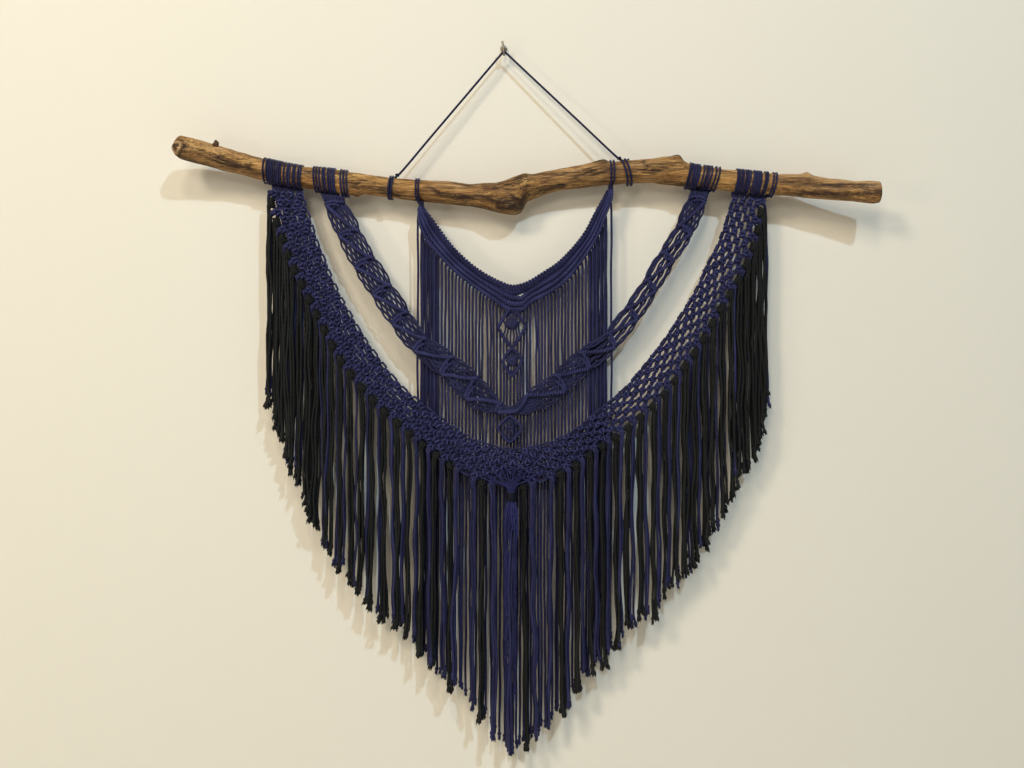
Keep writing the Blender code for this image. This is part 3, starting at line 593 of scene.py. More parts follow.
    # angle grows from back over the top, which turns left-handed round +X
    quads = np.stack([i + j, i + n_a + j, i + n_a + j2, i + j2], -1).reshape(-1, 4)
    j, j2 = j[0], j2[0]
    last = (n_x - 1) * n_a
    tris = np.vstack([np.stack([np.full(n_a, n_x * n_a), j, j2], -1),
                      np.stack([np.full(n_a, n_x * n_a + 1), last + j2, last + j], -1)])
    dark = np.concatenate([np.clip(dark, 0, 1).ravel(), [0.3, 0.35]])
    pale = np.concatenate([np.clip(pale, 0, 1).ravel(), [0.5, 0.3]])
    me = bpy.data.meshes.new("branch_wood")
    me.vertices.add(len(verts))
    me.vertices.foreach_set("co", (verts * MM).astype(np.float32).ravel())
    me.loops.add(4 * len(quads) + 3 * len(tris))
    me.loops.foreach_set("vertex_index", np.concatenate([quads.ravel(), tris.ravel()])
                         .astype(np.int32))
    me.polygons.add(len(quads) + len(tris))
    me.polygons.foreach_set("loop_start", np.concatenate(
        [np.arange(len(quads)) * 4, 4 * len(quads) + np.arange(len(tris)) * 3])
        .astype(np.int32))
    me.update(calc_edges=True)
    for name, val in (("dark", dark), ("pale", pale)):
        me.attributes.new(name, "FLOAT", "POINT").data.foreach_set(
            "value", val.astype(np.float32))
    me.shade_smooth()
    me.set_sharp_from_angle(angle=math.radians(62))
    ob = bpy.data.objects.new("branch_wood", me)
    scene.collection.objects.link(ob)
    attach(ob, "root")
    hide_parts("branch")
    made.append(("branch_wood", 2 * len(quads) + len(tris)))
    return ob


def wood_material(extra_dark=0.0):
    k = Nodes("driftwood_grain" if not extra_dark else "driftwood_bark")
    co = k.new("ShaderNodeTexCoord").outputs["Object"]

    def stretched(along):
        m = k.new("ShaderNodeMapping")
        m.inputs["Scale"].default_value = (along, 1.0, 1.0)
        k.wire(co, m.inputs["Vector"])
        return m.outputs["Vector"]

    fine = k.noise(950.0, 4.0, 0.66, stretched(0.05), 0.35)
    wide = k.noise(230.0, 3.0, 0.60, stretched(0.07), 0.7)
    split = k.noise(330.0, 2.0, 0.5, stretched(0.028), 0.9)
    blot = k.noise(24.0, 3.0, 0.6, co)
    f = k.math("ADD", k.math("MULTIPLY", fine, 0.5), k.math("MULTIPLY", wide, 0.5))
    f = k.math("ADD", f, k.math("MULTIPLY", k.math("SUBTRACT", blot, 0.5), 0.45))
    ramp = k.new("ShaderNodeValToRGB")
    e = ramp.color_ramp.elements
    e[0].position, e[0].color = 0.36, (0.120, 0.050, 0.014, 1)
    e[1].position, e[1].color = 0.67, (0.700, 0.420, 0.150, 1)
    c = e.new(0.51)
    c.color = (0.430, 0.218, 0.062, 1)
    k.wire(f, ramp.inputs["Fac"])
    # narrow dark splits that run with the grain
    gap = k.math("MULTIPLY", k.math("ABSOLUTE", k.math("SUBTRACT", split, 0.5)), 30.0, clamp=True)
    gap = k.math("SUBTRACT", 1.0, gap)
    gap = k.math("MULTIPLY", gap, k.math("MULTIPLY", k.math("SUBTRACT", blot, 0.40), 5.0,
                                         clamp=True))
    deep = k.math("ADD", k.attr("dark"), k.math("MULTIPLY", k.math("SUBTRACT", 0.5, fine), 1.2))
    deep = k.math("ADD", deep, k.math("MULTIPLY", gap, 0.70), clamp=True)
    deep = k.math("ADD", deep, extra_dark, clamp=True)
    col = k.mix(k.math("MULTIPLY", k.attr("pale"), 0.8, clamp=True), ramp.outputs["Color"],
                (0.740, 0.520, 0.290))
    col = k.mix(deep, col, (0.036, 0.015, 0.006))
    k.wire(col, k.b.inputs["Base Color"])
    k.wire(k.math("ADD", k.math("MULTIPLY", fine, 0.3), 0.42), k.b.inputs["Roughness"])
    k.b.inputs["Specular IOR Level"].default_value = 0.3
    n = k.bump(wide, 0.8, 0.0016)
    n = k.bump(fine, 0.8, 0.0008, n)
    n = k.bump(k.math("SUBTRACT", 1.0, gap), 0.7, 0.0010, n)
    k.wire(n, k.b.inputs["Normal"])
    return k.m


wood = wood_material()
branch = branch_mesh()
branch.data.materials.append(wood)


# the stub of a broken twig on top of the left part
stub = Bag()
foot = skin(-371.2, 0.60 * math.pi)
line = curve([foot + np.array(v) for v in ((-0.8, 0.0, -2.2), (-0.4, -0.4, 0.8), (0.8, -0.8, 3.0),
                                           (0.2, -1.0, 5.0), (0.6, -1.1, 6.6))], 1.1)
stub.sweep(line, np.interp(np.linspace(0, 1, len(line)), [0, 0.25, 0.55, 0.8, 1],
                           [4.8, 4.2, 3.3, 2.6, 1.0]), 9, ends=(0.0, 0.4))
stub.sweep(curve([foot + np.array(v) for v in ((2.2, -0.6, -1.6), (2.6, -1.0, 1.6), (3.0, -1.2, 3.6))],
                 1.2), 1.5, 7, ends=(0.0, 0.6))
stub.build("branch_twig_stub", wood_material(0.88), slot="driftwood")


# ----------------------------------------------------------------------- hook
hook_path = [(-0.9, 0.0), (-9.0, 0.0), (-11.6, -0.7), (-13.4, -2.6), (-14.2, -5.4),
             (-15.0, -8.4), (-16.9, -10.7), (-20.0, -11.6), (-23.0, -10.6),
             (-24.6, -8.0), (-25.0, -4.6), (-25.0, 1.0), (-25.1, 5.0)]


def steel_material():
    k = Nodes("hook_steel_worn")
    co = k.new("ShaderNodeTexCoord").outputs["Object"]
    n1, n2 = k.noise(900.0, 4.0, 0.6, co), k.noise(260.0, 2.0, 0.5, co)
    f = k.math("ADD", k.math("MULTIPLY", n1, 0.5), k.math("MULTIPLY", n2, 0.5))
    ramp = k.new("ShaderNodeValToRGB")
    ramp.color_ramp.elements[0].position = 0.35
    ramp.color_ramp.elements[0].color = (0.17, 0.13, 0.09, 1)
    ramp.color_ramp.elements[1].position = 0.65
    ramp.color_ramp.elements[1].color = (0.42, 0.39, 0.33, 1)
    k.wire(f, ramp.inputs["Fac"])
    k.wire(ramp.outputs["Color"], k.b.inputs["Base Color"])
    k.b.inputs["Metallic"].default_value = 1.0
    k.wire(k.math("ADD", k.math("MULTIPLY", n1, 0.35), 0.22), k.b.inputs["Roughness"])
    k.wire(k.bump(n1, 0.3, 0.0002), k.b.inputs["Normal"])
    return k.m


hook = Bag()
hp = curve([(-2.4 * clamp01((-18.0 - y) / 8.0) * clamp01((z + 9.0) / 14.0) + 0.5, y * 0.62, z)
            for y, z in hook_path], 0.8)
hook.sweep(hp, 1.5, 14, ends=(0.3, 0.7))
# turned plate at the wall, with a rolled rim: depth from the wall, radius
plate = [(-0.02, 0.4), (-0.02, 4.3), (-0.25, 4.6), (-1.2, 4.6), (-1.6, 4.3), (-1.8, 3.7),
         (-1.9, 2.0), (-2.2, 1.9), (-2.4, 1.4)]
ys = np.array([p[0] for p in plate])
hook.sweep([(0.0, y, 0.0) for y in np.linspace(-0.02, -2.4, len(plate))],
           [p[1] for p in plate], 28, ends=(0.0, 0.0))
hook.build("wall_hook_wire", steel_material(), ["wall_hook"], "hook_steel")


# --------------------------------------------------------------- hanging cord
def around(x, deg, out):
    """Point beside the branch, out mm from its skin, at deg: 0 back, 90 top, 180 front."""
    a = math.radians(deg)
    p = skin(x, a)
    c = 0.5 * (skin(x, 0.0) + skin(x, math.pi))
    d = np.array([0.0, p[1] - c[1], p[2] - c[2]])
    d /= np.linalg.norm(d)
    return p + d * out


def coil_turns(x0, pitch, start, count, gap, lean, n=14):
    out = []
    for i in range(int(round(count * n)) + 1):
        t = i / n
        deg = 360.0 * (start + t)
        out.append(around(x0 + pitch * t - lean * math.sin(math.radians(deg)), deg,
                          CORD / 2 + gap))
    return out


APEX = np.array((0.5, HOOK_CORD_Y, -7.5))
left = coil_turns(-149.5, 3.3, 0.25, 2.0, 0.55, -2.2)
right = coil_turns(156.5, 5.0, 0.25, 2.0, 0.55, 3.4)
up = left[-1] + np.array((4.0, 0.4, 3.4))
down = right[0] + np.array((-4.0, 0.4, 3.0))
ridge_top = [APEX + np.array(v) for v in ((-2.4, -0.1, -2.0), (-1.0, 0, -0.5), (1.2, 0, -0.5),
                                          (2.8, 0.1, -1.9))]
line = left + [up] + [up + (ridge_top[0] - up) * t for t in (0.33, 0.66)] + ridge_top
line += [ridge_top[-1] + (down - ridge_top[-1]) * t for t in (0.33, 0.66)] + [down] + right
hang_line = curve(line, 2.0)
hang = Bag()
hang_length = hang.sweep(hang_line, 1.45, 10, tone=0.30)
hang_ob = hang.build("hanging_cord_braid", NAVY, ["hanging_cord"])
# the overhand knots that close the two ties
ties = Bag()
for c, s in ((left[-1] + np.array((1.8, -1.2, 2.2)), 1), (right[0] + np.array((-2.0, -1.2, 2.0)), -1)):
    loop = [c + np.array((s * (-2.2), 2.0, -1.6)), c + np.array((s * (-2.6), -1.6, 0.4)),
            c + np.array((s * (-0.4), -2.6, 1.4)), c + np.array((s * 2.2, -0.8, 0.6)),
            c + np.array((s * 1.6, 1.9, -0.4)), c + np.array((s * -0.6, 2.2, 0.2)),
            c + np.array((s * -2.4, 0.6, -1.2)), c + np.array((s * -1.2, -2.2, -1.4)),
            c + np.array((s * 1.4, -2.4, -1.2)), c + np.array((s * 3.4, -1.0, -2.6))]
    ties.sweep(curve([c + (q - c) * 0.66 for q in loop], 0.7), 1.0, 7, tone=0.3)
tie_knots = ties.build("hanging_cord_knots", NAVY)


# ---------------------------------------------------------------------- bands
def spaced(rows, pitch):
    """Rows of edge pairs, read smoothly at an even pitch along the band."""
    rows = [list(map(float, r)) for r in rows]
    mids = np.array([((r[0] + r[2]) / 2, (r[1] + r[3]) / 2) for r in rows])
    run = np.concatenate([[0], np.cumsum(np.linalg.norm(np.diff(mids, axis=0), axis=1))])
    count = max(2, int(round(run[-1] / pitch)))
    out = []
    for i in range(count + 1):
        s = run[-1] * i / count
        k = max(j for j in range(len(rows) - 1) if run[j] <= s + 1e-9)
        t = (s - run[k]) / (run[k + 1] - run[k])
        p0, p1, p2, p3 = (rows[max(0, k - 1)], rows[k], rows[k + 1],
                          rows[min(len(rows) - 1, k + 2)])
        out.append([0.5 * (2 * b + (c - a) * t + (2 * a - 5 * b + 4 * c - d) * t * t
                           + (3 * b - a - 3 * c + d) * t ** 3)
                    for a, b, c, d in zip(p0, p1, p2, p3)])
    return out


class Band:
    """A hanging band between two edges: s mm along it, u across it, n mm from it."""
    def __init__(self, rows, pitch, depth, flush=True):
        rows = spaced(rows, pitch)
        if flush:
            for i in (0, -1):
                ax, _, bx, _ = rows[i]
                rows[i] = [ax, under_loops(ax), bx, under_loops(bx)]
        rows = np.array(spaced(rows, 2.0))
        self.A, self.B = rows[:, :2], rows[:, 2:]
        mid = (self.A + self.B) / 2
        self.S = np.concatenate([[0], np.cumsum(np.linalg.norm(np.diff(mid, axis=0), axis=1))])
        self.length = self.S[-1]
        self.depth = depth
        way = np.gradient(mid, axis=0)
        way /= np.linalg.norm(way, axis=1)[:, None]
        self.way = way                       # along the band, in x and drop

    def flat(self, s, u):
        s = np.asarray(s, float)
        ax, ad = np.interp(s, self.S, self.A[:, 0]), np.interp(s, self.S, self.A[:, 1])
        bx, bd = np.interp(s, self.S, self.B[:, 0]), np.interp(s, self.S, self.B[:, 1])
        over = s - np.clip(s, 0, self.length)   # runs on straight past the ends
        wx = np.interp(s, self.S, self.way[:, 0])
        wd = np.interp(s, self.S, self.way[:, 1])
        return ax + u * (bx - ax) + over * wx, ad + u * (bd - ad) + over * wd

    def at(self, s, u, n):
        x, d = self.flat(s, u)
        return np.stack([x, self.depth(x, d) + n, -d], -1)

    def width(self, s):
        ax, ad = self.flat(s, 0.0)
        bx, bd = self.flat(s, 1.0)
        return np.hypot(bx - ax, bd - ad)


# workers of a square knot round fillers of half width w, in units of one cord:
# across, towards the back, up; e is where they leave it
def worker_front(w, e):
    return [(-e, 0, 1.2), (-w - .08, .25, .85), (-.4 * w, -1, .62), (.4 * w, -1, .46),
            (w + .05, .2, .32), (w + .2, 0, 0), (w, -.3, -.3), (.4 * w, -1, -.48),
            (-.4 * w, -1, -.64), (-w - .05, .1, -.88), (-e, 0, -1.2)]


def worker_back(w, e):
    return [(e, 0, 1.2), (w + .15, -.6, .8), (w, .3, .55), (0, 1, .5), (-w, .2, .5),
            (-w - .2, -.65, .4), (-w - .2, -.25, 0), (-w, .4, -.45), (0, 1, -.5),
            (w, .3, -.6), (w + .1, -.5, -.85), (e, 0, -1.2)]


def slot_points(slot, w, flip, filler=0.5, e=1.0):
    """Control points of cord 0 to 3 of a square knot."""
    if slot in (1, 2):
        x = -filler if slot == 1 else filler
        return [(x, .12, 1.1), (x, 0.0, 0.0), (x, .12, -1.1)]
    if (slot == 0) != flip:
        pts = worker_front(w, e)
    else:
        pts = worker_back(w, e)
    return [(-x, n, s) for x, n, s in pts] if flip else pts


# outer edge x, drop, inner edge x, drop
NET = [
    (-302, 188, -261, 193), (-302, 209, -258, 209), (-294, 237, -252, 225),
    (-285, 260, -246, 246), (-276, 286, -237, 270), (-263, 312, -226, 297),
    (-249, 341, -214, 324), (-232, 374, -198, 353), (-213, 410, -180, 384),
    (-189, 442, -159, 413), (-161, 473, -135, 443), (-128, 503, -103, 471),
    (-96, 530, -71, 495), (-63, 554, -41, 514), (-33, 570, -15, 523),
    (10, 578, 10, 528), (54, 570, 36, 525), (86, 554, 63, 517),
    (116, 532, 94, 500), (146, 511, 123, 476), (177, 486, 154, 450),
    (207, 457, 181, 419), (235, 421, 206, 387), (259, 385, 228, 354),
    (281, 347, 248, 321), (301, 315, 263, 288), (317, 283, 276, 263),
    (328, 252, 285, 239), (333, 226, 292, 216), (337, 205, 296, 203),
    (344, 200, 296, 196),
]
INNER = [
    (-238, 198, -204, 200), (-229, 221, -200, 214), (-218, 248, -185, 239),
    (-206, 272, -176, 260), (-192, 298, -162, 281), (-177, 321, -148, 304),
    (-163, 343, -135, 325), (-148, 365, -122, 344), (-131, 389, -109, 367),
    (-112, 408, -93, 385), (-92, 426, -73, 398), (-70, 445, -53, 415),
    (-51, 467, -33, 433), (-28, 480, -15, 454), (-8, 482, -3, 469),
    (7, 484, 7, 475), (24, 484, 16, 471), (45, 480, 29, 456), (68, 468, 50, 442),
    (92, 447, 76, 421), (115, 425, 99, 396), (137, 408, 122, 382),
    (153, 390, 137, 364), (170, 370, 150, 347), (185, 348, 164, 328),
    (200, 324, 179, 306), (215, 299, 192, 282), (229, 276, 206, 261),
    (244, 254, 219, 239), (254, 233, 228, 218), (262, 214, 234, 206),
    (268, 196, 239, 192),
]
HEADING = [
    (-106, 213.5, -110.5, 213.5), (-96, 226, -110.5, 233), (-83, 244, -101, 257),
    (-68, 264, -85, 276), (-49, 283, -66, 296), (-28, 299, -41, 316),
    (-5, 311, -14, 335), (12, 316, 10, 349), (31, 312, 36, 337), (54, 298, 64, 324),
    (72, 286, 85, 307), (90, 268, 105, 281), (107, 246, 122, 254),
    (120, 221, 133, 226), (131, 202, 141, 205), (137, 190.5, 142, 190.5),
]


net = Band(NET, 10.75, lambda x, d: -26.0 - 7.4 * clamp01((d - 200.0) / 330.0))
inner = Band(INNER, 14.0, lambda x, d: -26.0 + 0.2 * clamp01((d - 200.0) / 200.0))
head = Band(HEADING, 11.0, lambda x, d: -25.2 + 3.2 * clamp01((d - 200.0) / 110.0), False)

# ------------------------------------------------- outer net of square knots
N_CORDS = 16
RN = 1.46
END_N = 3.0
rows_n = int(round((net.length - 2 * END_N) / 10.7))
rows_n += 1 - rows_n % 2                      # odd, so both ends are rows of four
pitch_n = (net.length - 2 * END_N) / rows_n
row_s = END_N + pitch_n * (np.arange(rows_n) + 0.5)


def tightness(s):
    """1 on the left half, which is worked tighter, to 0 on the right."""
    return float(clamp01((net.length * 0.60 - s) / 70.0))


def net_cord(c):
    """Control points of net cord c, row after row, and where each row starts."""
    pts, marks = [], []
    for i, s in enumerate(row_s):
        tight = tightness(s)
        w = float(net.width(s))
        marks.append(len(pts))
        g = np.random.RandomState(100 + i)
        offs = g.uniform(-0.5, 0.5, (4, 2))
        turn = g.uniform(-0.13, 0.13, 4)
        size = g.uniform(0.93, 1.07, 4)
        if i % 2 == 0:
            k, slot = c // 4, c % 4
            uc = (k + 0.5) / 4
        elif c < 2 or c > 13:
            # the free cords at both edges, one behind the other
            inner_side = c > 13
            deep = c in (1, 14)
            if inner_side:
                back = (RN + 3.2 if deep else RN - 1.3) * tight \
                    + (RN + 3.2 if deep else RN + 0.4) * (1 - tight)
                n = (0.9 if deep else -0.5)
            else:
                back = (RN + 0.6 if deep else RN - 0.6) * tight \
                    + (RN - 0.4 if deep else RN - 1.9) * (1 - tight)
                n = 1.9 if deep else -0.5
            back += 0.2 * math.sin(i * 1.7 + c)
            u = 1 - back / w if inner_side else back / w
            for ds in (-0.42, 0.0, 0.42):
                pts.append(net.at(s + ds * pitch_n, u, n))
            continue
        else:
            k, slot = (c - 2) // 4, (c - 2) % 4
            uc = (k + 1.0) / 4
        gap = 0.1 * tight + 1.9 * (1 - tight)
        unit_u = (w / 4 - gap - 2 * RN) / 2.4 * size[k]
        unit_s = pitch_n * (0.40 + 0.02 * tight) * size[k]
        flip = (i + k) % 2 == 1
        ca, sa = math.cos(turn[k]), math.sin(turn[k])
        for a, n, b in slot_points(slot, 1.0, flip, RN * 0.98 / unit_u,
                                   (w / 8 - RN) / unit_u):
            am, bm = a * unit_u, b * unit_s
            bm += 0.30 * am * math.copysign(1.0, b) * (1 if flip else -1) * min(1.0, abs(b) * 2.2)
            am, bm = am * ca - bm * sa, am * sa + bm * ca
            pts.append(net.at(s - bm + offs[k, 1], uc + (am + offs[k, 0]) / w, n * 2.9))
    return pts, marks


net_half = int(np.argmin(abs(row_s - net.length / 2)))
net_top = {"left": [], "right": []}
bags = {"left": Bag(), "right": Bag()}
knot_line_length = 0.0
for c in range(N_CORDS):
    pts, marks = net_cord(c)
    u = (c + 0.5) / N_CORDS
    first, last = net.at(0.3, u, 0.4), net.at(net.length - 0.3, u, 0.4)
    pts = [first] + pts + [last]
    cut = marks[net_half] + 1
    tone = 0.40 + 0.16 * rng.rand()
    whole = curve(pts, 1.72)
    knot_line_length += np.linalg.norm(np.diff(whole, axis=0), axis=1).sum()
    # split at the row in the middle of the swag
    k = int(np.argmin(np.linalg.norm(whole - np.array(pts[cut]), axis=1)))
    # painted shade and highlight: the tone is darker where the cord lies further back in the net and
    # lighter where it stands out in front
    relief_for_painted_shade = np.clip((net.depth(whole[:, 0], -whole[:, 2]) - whole[:, 1]) / 2.9, -1.0, 1.2)
    wave = tone + 0.10 * np.sin(np.arange(len(whole)) / 7.0 + c) + 0.30 * relief_for_painted_shade
    bags["left"].sweep(whole[:k + 1], RN, 6, wave[:k + 1], ends=(0.4, 0.0))
    bags["right"].sweep(whole[k:], RN, 6, wave[k:], v0=k * 1.72, ends=(0.0, 0.4))
    net_top["left"].append(first)
    net_top["right"].append(last)
# cords that lie behind the knots and show between them; their dark tone is painted shade
for u in (0.07, 0.17, 0.26, 0.36, 0.47, 0.57, 0.67, 0.77):
    g = np.random.RandomState(int(u * 1000))
    ss = np.arange(6.0, net.length * 0.63, 7.0)
    uu = u + 0.022 * np.sin(ss / 5.3 + 9 * u) + 0.01 * g.uniform(-1, 1, len(ss))
    bags["left"].sweep(net.at(ss, uu, 1.9 + 0.5 * np.sin(ss / 4.1 + 5 * u)), 1.5, 5, 0.12,
                       ends=(0.3, 0.3))
bags["left"].build("outer_net_knots_left", NAVY, ["outer_net"])
bags["right"].build("outer_net_knots_right", NAVY)


# -------------------------------------------------- loops that hold the bands
def pair_over_branch(bag, xa, xb, foot_a, foot_b, tone, lean, r=1.24):
    """A lark's head on the branch: bar at the back, two turns over the front."""
    def leg(x, foot, side):
        j, k = rng.uniform(-0.3, 0.3, 2)
        pts = [foot + np.array((0, 0.0, -0.5)), foot + np.array((0, 0.6, 1.0))]
        pts += [around(x + (foot[0] - x) * 0.35, 300, r + 0.15)]
        for deg, h in ((330, -0.45), (0, 0.0), (45, 0.42), (90, 0.5), (135, 0.35), (180, 0.0),
                       (222, -0.35), (252, -0.45)):
            pts.append(around(x + lean * h + j + k * math.cos(math.radians(deg)), deg,
                              r + (0.35 if deg == 252 else 0.15)))
        pts += [around(x - lean * 0.45, 285, r + 1.6),
                around(x - lean * 0.3, 310, 3 * r + 0.5), around(x + side * 0.5, 330, 3 * r + 0.7)]
        return pts
    a, b = leg(xa, foot_a, 1), leg(xb, foot_b, -1)
    bag.sweep(curve(a + b[::-1], 1.7), r, 7, tone)


def loops(name, node, xs, feet, lean, mat=NAVY):
    bag = Bag()
    for i in range(0, len(xs) - 1, 2):
        pair_over_branch(bag, xs[i], xs[i + 1], feet[i], feet[i + 1], 0.25 + 0.3 * rng.rand(),
                         lean * rng.uniform(0.7, 1.3))
    return bag.build(name, mat, [node])


def columns_px(*groups):
    """Picture columns of the turns as x in mm: (first, last, count) for each group."""
    out = []
    for a, b, n in groups:
        out += [(q - 503.5) * 1.3 for q in np.linspace(a, b, n)]
    return out


loops("outer_loops_left_cords", "outer_loops_left",
      columns_px((265.0, 265.0, 1), (268.4, 282.4, 8), (285.8, 285.8, 1), (288.8, 291.0, 2),
                 (294.4, 296.6, 2), (299.6, 301.8, 2)), net_top["left"], 2.2)
xs = columns_px((774.0, 771.2, 2), (765.0, 763.0, 2), (759.4, 751.6, 5), (748.4, 744.0, 3),
                (741.2, 735.6, 4))
loops("outer_loops_right_cords", "outer_loops_right", xs, net_top["right"], 4.6)

# ----------------------------------------------------------- inner band hitches
UNIT = inner.length / round(inner.length / 43.6)
n_units = int(round(inner.length / UNIT))
inner_s = np.arange(n_units + 1) * UNIT
half_s = inner.length / 2
off_mid = (inner_s - half_s) / half_s       # -1 at the left top, 1 at the right top
inner_s = inner_s - 12.0 * off_mid * np.abs(off_mid)


def ridge(bag, C, across, deep, pitch=2.6, r=1.15, slant=0.9, tone=0.5, sides=5, per=8, hand=1):
    """Hitches side by side along the line C: one cord coiled round a carrier."""
    C = np.asarray(C, float)
    keep = np.ones(len(C), bool)
    keep[1:] = np.linalg.norm(np.diff(C, axis=0), axis=1) > 1e-3
    C = C[keep]
    if len(C) < 3:
        return
    s = np.concatenate([[0], np.cumsum(np.linalg.norm(np.diff(C, axis=0), axis=1))])
    if s[-1] < 0.8 * pitch:
        return
    if np.ndim(across):
        across = np.asarray(across)[keep]
    turns = max(1, int(round(s[-1] / pitch)))
    m = turns * per + 1
    t = np.linspace(0, s[-1], m)
    ph = 2 * math.pi * np.arange(m) / per
    look = np.clip(t + slant * np.cos(ph) * hand, 0, s[-1])
    Q = np.stack([np.interp(look, s, C[:, i]) for i in range(3)], -1)
    T = np.stack([np.interp(t, s, np.gradient(C[:, i], s)) for i in range(3)], -1)
    T /= np.linalg.norm(T, axis=1)[:, None]
    N = np.cross(np.array([0.0, 1.0, 0.0]), T)
    N /= np.maximum(np.linalg.norm(N, axis=1)[:, None], 1e-6)
    if np.ndim(across):
        across = np.interp(t, s, across)[:, None]
    P = Q + N * across * np.cos(ph)[:, None] + np.array([0.0, 1.0, 0.0]) * deep * np.sin(ph)[:, None]
    # painted shade and highlight: the back half of each turn gets a darker tone and its front half a
    # lighter one
    tone = tone + 0.10 * np.sin(t / 7.0) - 0.22 * np.sin(ph)
    bag.sweep(P, r, sides, tone, ends=(0.4, 0.4))


band = Bag()
BOWS = (-.055, -.035, -.020, -.012, -.006, 0.0, .004, .008, .014, .035, .055, .070)


def drawn_in(s):
    """Both arms are pulled tighter than the middle, the right one more."""
    off = np.asarray(s, float) - inner.length / 2
    return 1.0 - 0.17 * clamp01((off - 80.0) / 70.0) - 0.10 * clamp01((-off - 80.0) / 70.0)


for k in range(n_units):
    a, b = inner_s[k], inner_s[k + 1]
    on_right = (a + b) / 2 > inner.length / 2
    if on_right:
        a, b = b, a
    g = np.random.RandomState(500 + k)
    flatter = math.exp(-((a + b) / 2 - inner.length / 2) ** 2 / 90.0 ** 2)

    def place(t, u, n, a=a, b=b):
        s = np.clip(a + (b - a) * np.asarray(t, float), 0.2, inner.length - 0.2)
        return inner.at(s, np.asarray(u, float) * drawn_in(s), np.asarray(n, float))

    # twelve cords that run along, bowed out on both sides of the long hitched line
    for j in range(12):
        if on_right and k < n_units - 1 and flatter < 0.3 and j in (2, 5, 8):
            continue                          # these run behind their neighbours
        u0 = (j + 0.5) / 12
        hit = (max(u0 - 0.07, 0.0) / 0.85) ** (1 / 1.05)
        hit = min(hit, 1.0)
        t = np.linspace(-.30 if k in (0, n_units - 1) else -.03, 1.03, 15)
        bow = BOWS[j] if j > 6 else 0.0
        low = BOWS[j] if j <= 6 else -0.008
        f = np.where(t < hit, bow * np.sin(np.pi * clamp01(t / max(hit, 0.05))) ** 0.8,
                     low * np.sin(np.pi * clamp01((t - hit) / max(1 - hit, 0.05))) ** 0.8)
        f = f * (1 - 0.55 * flatter)
        cross = np.sin(2 * np.pi * (2.5 * t + 0.5 * j)) * np.sin(np.pi * clamp01(t)) ** 0.5
        u = u0 + f + 0.008 * g.uniform(-1, 1) + (0.024 * g.uniform(0.5, 1.3) if j < 9
                                                 else 0.012) * cross
        u = u + 0.10 * (0.42 - u0) * (np.exp(-(t / 0.13) ** 2) + np.exp(-((t - 1) / 0.13) ** 2))
        n = 0.9 * np.exp(-((t - hit) / 0.10) ** 2) + 0.7 * np.exp(-(t / 0.09) ** 2) \
            + 0.7 * np.exp(-((t - 1) / 0.09) ** 2) + (0.5 if j % 2 else -0.5) \
            * np.cos(2 * np.pi * (2.5 * t + 0.25))
        band.sweep(curve(place(t, u, n), 2.7), 1.38 + 0.1 * g.rand(), 6, 0.28 + 0.30 * g.rand())
    # the long hitched line from the outer edge to the inner edge
    t = np.linspace(0.0, 0.99, 24)
    u = 0.07 + 0.84 * t ** 1.05 + 0.03 * np.sin(2 * np.pi * t)
    ridge(band, place(t, u, -1.8 - 0.6 * np.sin(np.pi * t)), 1.5 + 0.7 * flatter, 2.2, 3.3,
          1.45, 1.5, 0.60, hand=-1 if on_right else 1)
    # two short hitched lines across, where the cords are drawn together
    t = np.linspace(0, 1, 20)
    for dt, n, reach in ((-0.035, -1.5, 0.84), (0.055, -1.3, 0.58)):
        u = 0.07 + reach * t
        bow = -0.055 * np.sin(np.pi * t) + dt + 0.02 * (t - 0.5)
        ridge(band, place(bow, u, n - 0.3 * np.sin(np.pi * t)), 1.25, 2.0, 2.9, 1.32, 1.0, 0.52)
    # one cord passes over them slantwise
    band.sweep(curve(place([-.17, -.12, -.02, .09, .16], [.72, .68, .57, .42, .34],
                           [-.6, -2.8, -4.2, -3.2, -.8]), 1.8), 1.35, 6, 0.55)
    # knots on the two edges
    t = np.linspace(-.06, .09, 6)
    ridge(band, place(t, .07 + 0 * t, 0.0 * t), 1.3, 1.9, 2.9, 1.25, 0.4, 0.42)
    t = np.linspace(-.09, .04, 6)
    ridge(band, place(t, .92 + 0 * t, 0.2 + 0 * t), 1.4, 1.9, 2.9, 1.25, 0.4, 0.42)
band.build("inner_band_hitches", NAVY, ["inner_band"])
feet = [inner.at(0.5, (c + 0.5) / 12, 0.4) for c in range(12)]
loops("inner_loops_left_cords", "inner_loops_left",
      columns_px((315.0, 320.6, 3), (323.6, 325.8, 2), (328.8, 335.2, 4), (341.4, 347.0, 3)), feet,
      -1.2)
feet = [inner.at(inner.length - 0.5, 0.83 * (c + 0.5) / 12, 0.4) for c in range(12)]
loops("inner_loops_right_cords", "inner_loops_right",
      columns_px((717.0, 713.6, 2), (709.4, 707.2, 2), (704.4, 702.2, 2), (697.8, 688.0, 6)), feet,
      5.6)

# the little diamond under the band
drop = Bag()
cx, cd = 8.2, 486.0
corners = [(cx, cd), (cx - 15.5, cd + 16.0), (cx, cd + 35.0), (cx + 15.5, cd + 16.0), (cx, cd)]
for (xa, da), (xb, db) in zip(corners, corners[1:]):
    t = np.linspace(0, 1, 10)
    bow = 1.6 * np.sin(np.pi * t)
    mx, md = (xa + xb) / 2 - cx, (da + db) / 2 - (cd + 17.5)
    q = math.hypot(mx, md)
    P = np.stack([xa + (xb - xa) * t + bow * mx / q, np.full(10, -27.0),
                  -(da + (db - da) * t + bow * md / q)], -1)
    ridge(drop, P, 1.1, 1.7, 2.4, 1.05, 0.7, 0.52)
for i, o in enumerate((-8.4, -4.2, 0.0, 4.2, 8.4)):
    t = np.linspace(0.0, 1.0, 9)
    P = np.stack([cx + o * np.sin(np.pi * (0.12 + 0.76 * t)), -25.2 - 1.2 * np.sin(np.pi * t),
                  -(cd + 3 + 29 * t)], -1)
    drop.sweep(curve(P, 2.0), 1.1, 6, 0.5)
